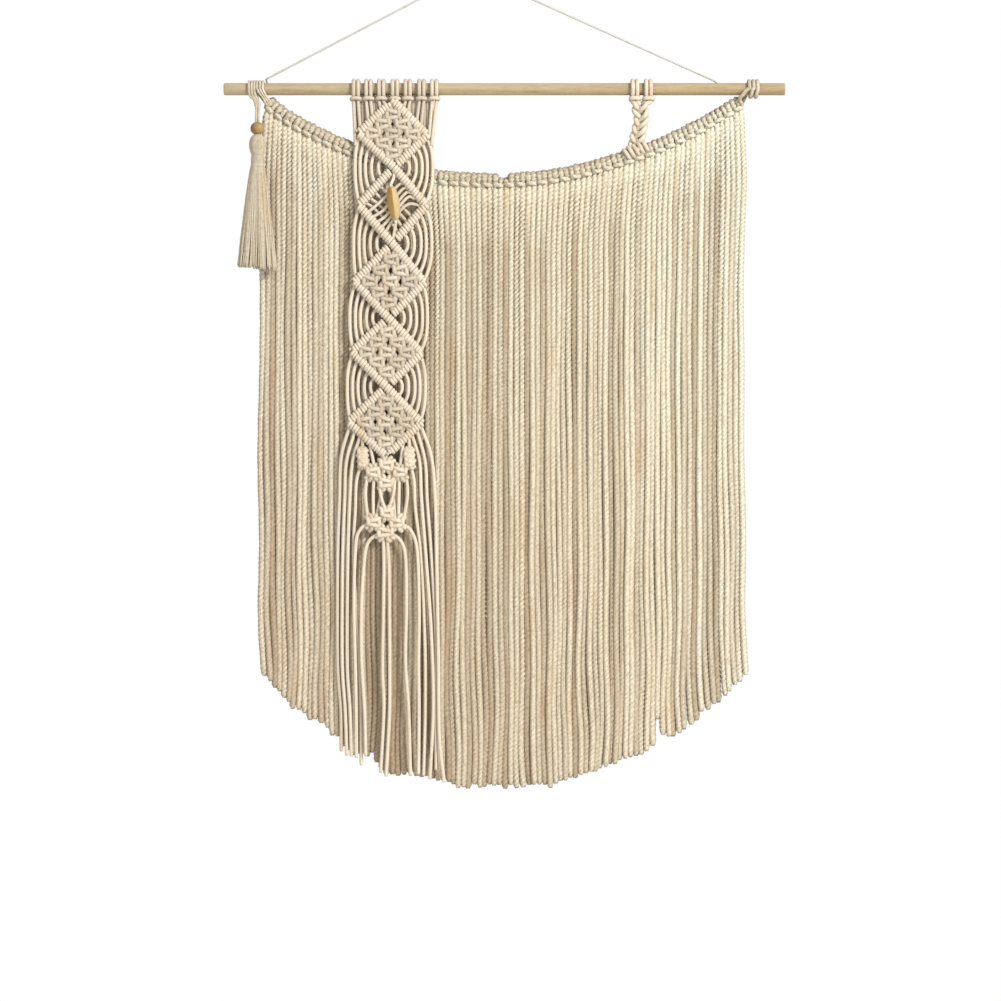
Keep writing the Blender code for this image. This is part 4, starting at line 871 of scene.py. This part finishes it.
def column_heads(weave, rng):
    """The lark's heads on the rod with their cords down to the first diamond, and the cords behind them."""
    top, bottom, left, right = *CROSSINGS[:2], LEFT_CORNERS[0], RIGHT_CORNERS[0]
    for head in COLUMN_HEADS:
        ends = []
        for side in (-1, 1):
            across = head + side * HEAD_SPREAD
            at_left = across < top.across
            if across < OUTER_LEFT or across > OUTER_RIGHT:
                goal = Spot(355.8 if at_left else 431.6, 146)
            elif abs(across - top.across) < 5:
                goal = Spot(across, 105)
            else:
                corner, shift = (left, 2.4) if at_left else (right, -3)
                goal = between(top, corner, (across + shift - top.across) / (corner.across - top.across))
            half_way = between(goal, Spot(across, HEAD_DOWN), 0.45)
            ends.append([place(*goal, COLUMN_FRONT - 1), place(*half_way, COLUMN_FRONT - 1.2)])
        rod_head(weave, head, COLUMN_FRONT, ends, CORD_RADIUS, 0.15 + 0.35 * rng.random())
    for across in BACK_CORDS:
        corner = left if across < top.across else right
        share = min((across - bottom.across) / (corner.across - bottom.across), 0.96)
        low = between(bottom, corner, max(share, 0.12)).down
        if abs(across - bottom.across) > 9:
            low = max(low, read_off(SWAG_LINE, across) + 2)
        downs = ((96.4, 1.2), (101, 2.2), (0.5 * (101 + low), 1.6), (low, 2))
        # The cords behind have a low tone: a painted shade, dark for the shadow behind the column's front
        # cords
        weave.lay([(across, *pair) for pair in downs], 2, 2.1, tone=0.1)


def crossing_cords(weave, rng):
    """The cords that cross behind the leaf bead, and the doubled cord that it is threaded on."""
    for cords, front in ((UNDER_CORDS, UNDER_FRONT), (OVER_CORDS, OVER_FRONT)):
        for spots in cords:
            fronts = (COLUMN_FRONT - 1, front, front, front, front, COLUMN_FRONT - 1)
            path = [(*spot, at) for spot, at in zip(spots, fronts)]
            weave.lay(path, 1, CROSSING_RADIUS, tone=plain_tone(rng))
    threaded = [
        (CROSSINGS[BEAD_DIAMOND], 0.6, 3, COLUMN_FRONT + 0.6), (LEAF_TOP, 2.2, -9, LEAF_FRONT - 2.6),
        (LEAF_TOP, -0.2, -3, LEAF_FRONT - 0.3), (LEAF_TOP, 0, 0, LEAF_FRONT),
        (LEAF_BOTTOM, 0, 0, LEAF_FRONT), (LEAF_BOTTOM, 0.4, 3, LEAF_FRONT - 0.3),
        (LEAF_BOTTOM, -0.8, 9, LEAF_FRONT - 2.6),
        (CROSSINGS[BEAD_DIAMOND + 1], 0.6, -3, COLUMN_FRONT + 0.6),
    ]
    for shift in (-0.62, 0.62):
        path = [(spot.across + x + shift, spot.down + y, front) for spot, x, y, front in threaded]
        weave.lay(path, 1, 0.85, tone=1)


def lower_knots(weave, rng):
    """The square knots and the two wrapped knots below the last diamond, and the cords between them."""
    for across, down, half_width in LOWER_KNOTS:
        if half_width:
            square_knot(weave, across, down, COLUMN_FRONT, half_width / KNOT_HALF_WIDTH, 1, rng)
            continue
        for k in (-1, 0, 1):
            square_knot(weave, across + 0.5 * k, down + WRAPPED_STEP * k, COLUMN_FRONT, WRAPPED_WIDE,
                        WRAPPED_TALL, rng)
    for link in LOWER_LINKS:
        weave.lay(link, 1.2, CORD_RADIUS, tone=plain_tone(rng))


def long_cords(weave, rng):
    """The column's long cords with their blunt tips."""
    for cord in LONG_CORDS:
        path = laid(cord, 1.9)
        radius = np.full(len(path), CORD_RADIUS)
        radius[-1] *= 0.72
        weave.strand(path, radius, tone=0.45 + 0.45 * rng.random())


def column():
    """The column, as two pieces: its knots, and its plain cords."""
    rng = random.Random(23)
    for name, parts in (("column_knots", (hitch_bars, knot_fields)),
                        ("column_cords", (column_heads, bow_cords, crossing_cords, lower_knots, long_cords))):
        weave = Weave()
        for part in parts:
            part(weave, rng)
        weave.make(name, cord_cotton, "column")


# Beads


def bead(name, rings, material, node_name, crease=None):
    """A closed surface through rings of points, with the edges sharp that bend by more than a crease."""
    rings = np.array(rings)
    here = np.arange(rings.size // 3).reshape(rings.shape[:2])
    faces = [here, np.roll(here, -1, 0), np.roll(here, (-1, -1), (0, 1)), np.roll(here, -1, 1)]
    mesh = bpy.data.meshes.new(name)
    faces = np.stack(faces, -1).reshape(-1, 4)
    mesh.from_pydata((rings.reshape(-1, 3) / 1000.0).tolist(), [], faces.tolist())
    mesh.shade_smooth()
    if crease:
        mesh.set_sharp_from_angle(angle=radians(crease))
    add_piece(name, mesh, material, node_name)


def round_bead():
    """The turned bead above the tassel."""
    start = asin(BEAD_BORE / BEAD_RADIUS)
    profile = [(BEAD_HALF_HEIGHT * cos(angle), BEAD_RADIUS * sin(angle))
               for angle in np.linspace(start, pi - start, BEAD_RINGS)]
    low, high = profile[-1][0], profile[0][0]
    profile += [(low + 0.4, BEAD_BORE - 0.4), (0, BEAD_BORE - 0.5), (high - 0.4, BEAD_BORE - 0.4)]
    middle = place(TASSEL_ACROSS, BEAD_DOWN, TASSEL_FRONT)
    turns = [FULL_TURN * k / BEAD_SIDES for k in range(BEAD_SIDES)]
    rings = [[middle + (-cos(turn) * radius, sin(turn) * radius, height) for turn in turns]
             for height, radius in profile]
    bead("round_bead", rings, bead_timber, "tassel_bead")


def leaf_bead():
    """The pointed bead in the second diamond, with its carved facets."""
    top, bottom = place(*LEAF_TOP, LEAF_FRONT), place(*LEAF_BOTTOM, LEAF_FRONT)
    long = float(np.linalg.norm(top - bottom))
    axis = (top - bottom) / long
    right, middle, half = np.array((axis[2], 0, -axis[0])), (top + bottom) / 2, long / 2
    whole = LEAF_WIDTHS[-1][0]
    outline = []
    for k in range(LEAF_RINGS):
        share = k / (LEAF_RINGS - 1)
        width = read_off(LEAF_WIDTHS, whole * share) * (0.92 if share in (0, 1) else 1)
        outline.append((half - long * share, width, LEAF_DEPTH))
    outline += [(-half + 0.5, LEAF_BORE, 1), (0, LEAF_BORE, 1), (half - 0.5, LEAF_BORE, 1)]
    corners = np.array(LEAF_FACETS)
    shape = []
    for before, corner, after in zip(np.roll(corners, 1, axis=0), corners, np.roll(corners, -1, axis=0)):
        shape += [corner + (before - corner) * LEAF_BEVEL, corner + (after - corner) * LEAF_BEVEL]
    rings = []
    for height, width, depth in outline:
        at = middle + axis * height
        rings.append([at + (right * x + (0, y * depth, 0)) * width for x, y in shape])
    bead("leaf_bead_carved", rings, leaf_timber, "leaf_bead", crease=28)


# Strap


def strap():
    """Two lark's heads, the braid of their four cords, and the wraps that end it on the swag."""
    rng = random.Random(31)
    weave = Weave()
    middles = laid(STRAP_LINE, 0.5)
    run = np.linspace(0, 1, len(middles))

    def braided(k, share):
        """The place of one of the four cords at a share of the braid's run."""
        turn = FULL_TURN * (share * STRAP_TURNS + k / 4) + 0.6
        middle = np.array([np.interp(share, run, middles[:, c]) for c in range(3)])
        wide = STRAP_HALF_WIDTH + 0.5 * sin(9 * share)
        out = 2.5 * sin(2 * turn) + 1.5 * sin(turn)
        return middle + (wide * cos(turn), -out, 0)

    order = sorted(range(4), key=lambda k: braided(k, STRAP_START)[0])
    ends = [[braided(k, share) for share in np.linspace(1, STRAP_START, 30)] for k in order]
    for head, two in zip(STRAP_HEADS, (ends[:2], ends[2:])):
        rod_head(weave, head, COLUMN_FRONT - 0.4, two, 2.5, 0.5 + 0.2 * rng.random(), 2.2)
    line = laid(STRAP_WRAP_LINE, 0.25)
    turn = np.linspace(0, FULL_TURN * STRAP_WRAPS, len(line)) - 1.2
    weave.strand(coiled(line, turn, 6.2, 5.4), 2.1, tone=0.4)
    weave.make("strap_cords", cord_cotton, "strap")


# Tassel


def tassel_lock(weave, k, rng):
    """One lock, from the tassel's crown over its head and neck to its tip. The first ones lie outside."""
    outer = k < OUTER_LOCKS
    turn = FULL_TURN * (k / OUTER_LOCKS if outer else rng.random())
    reach = 0.93 if outer else 0.86 * sqrt(rng.uniform(0.05, 1))
    right, ahead = cos(turn), sin(turn)
    tip = SKIRT_BOTTOM - rng.uniform(0, 3.4) + 1.8 * right
    stops = []
    for down in LOCK_DOWNS:
        wide, deep = (read_off([(ring[0], ring[c]) for ring in TASSEL_RINGS], down) for c in (1, 2))
        if NECK_TOP < down < NECK_BOTTOM:
            wide, deep = 5.9, 5
        across = TASSEL_ACROSS + TASSEL_SHIFT + right * wide * reach
        stops.append((across, down, TASSEL_FRONT + ahead * deep * reach))
    lean = rng.uniform(-0.9, 0.9)
    for share in SKIRT_SHARES:
        wide = (6.6 + 13.2 * share**0.8) * reach
        deep = (5.6 + 2.2 * share) * reach
        wave = 0.5 * share * sin(9 * share + k)
        across = TASSEL_ACROSS - TASSEL_SHIFT * share + right * wide + lean * share + wave
        front = TASSEL_FRONT + 2 * share + ahead * deep + 0.4 * lean * share
        stops.append((across, SKIRT_TOP + (tip - SKIRT_TOP) * share, front))
    path = laid(stops, 3.2)
    radius = np.interp(NAIL_DOWN - path[:, 2], *zip(*LOCK_RADII))
    weave.strand(path, radius, SIX, tone=rng.random(), edge=0.3)


def tassel():
    """The wraps round the rod, the doubled cord, the head with its binding, and the skirt."""
    rng = random.Random(5)
    weave = Weave()
    for k, across in enumerate(TASSEL_WRAPS):
        low = TASSEL_ACROSS - 0.3 + (k - 1) * 1.9
        ahead = [(across + 0.3, 93, 7), (across + 1.6, 97, 5.4), (low - 1, 100.6, 4),
                 (low, 105.6, 2.6)]
        behind = [(low, 105.6, 0.6), (low - 1.4, 100.6, -3.6)]
        wrap(weave, across, THIN_WRAP, behind, ahead, 0.75 + 0.1 * k, 0.4)
    for side in (-1, 1):
        at = TASSEL_ACROSS + side * 1.25
        stops = [(at - 0.8, 101.6, 2.2), (at, 106, 3.2), (at, 114, TASSEL_FRONT - 1.4),
                 (at, 121, TASSEL_FRONT), (at, 138.5, TASSEL_FRONT)]
        weave.lay(stops, 1, 1.3, tone=0.95)
    bind = np.linspace(0, 1, BIND_TURNS * 20 + 1)
    turn = bind * BIND_TURNS * FULL_TURN
    middle = place(TASSEL_ACROSS + TASSEL_SHIFT, BIND_DOWN, TASSEL_FRONT)
    path = middle + np.stack([6.3 * np.cos(turn), 5.3 * np.sin(turn), -bind * BIND_RUN], axis=1)
    weave.strand(path, 0.6, SIX, tone=0.7)
    for k in range(LOCKS):
        tassel_lock(weave, k, rng)
    weave.make("tassel_strands", tassel_cotton, "tassel")


twine()
swag()
column()
round_bead()
leaf_bead()
strap()
tassel()
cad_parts["rod"].material_slots[0].material = rod_timber


# Studio: a pale floor, a white surround and one soft light from the upper right

floor_corners = [(-2.5, -2.6, 0), (2.5, -2.6, 0), (2.5, 0.46, 0), (-2.5, 0.46, 0)]
floor_mesh = bpy.data.meshes.new("floor")
floor_mesh.from_pydata(floor_corners, [], [(0, 1, 2, 3)])
floor = bpy.data.objects.new("floor", floor_mesh)
floor.location = (0, 0, -1.1)
floor_paint, _, floor_shader = new_material("floor_paint", 0.9)
floor_shader.inputs["Base Color"].default_value = (0.82, 0.82, 0.81, 1)
floor_mesh.materials.append(floor_paint)
scene.collection.objects.link(floor)

surround = bpy.data.worlds.new("surround")
surround.use_nodes = True
background = surround.node_tree.nodes["Background"]
background.inputs["Color"].default_value = (*WHITE, 1)
background.inputs["Strength"].default_value = 1
scene.world = surround

lamp = bpy.data.lights.new("key", "AREA")
lamp.size, lamp.energy = 0.6, 118
key = bpy.data.objects.new("key", lamp)
key.location = (1.9, -2.1, 1.1)
x, y, z = -1.9, 2.1, -1.5  # from the light to its aim
key.rotation_euler = (atan2(hypot(x, y), -z), 0, atan2(-x, y))
scene.collection.objects.link(key)
scene.view_settings.view_transform = "Standard"
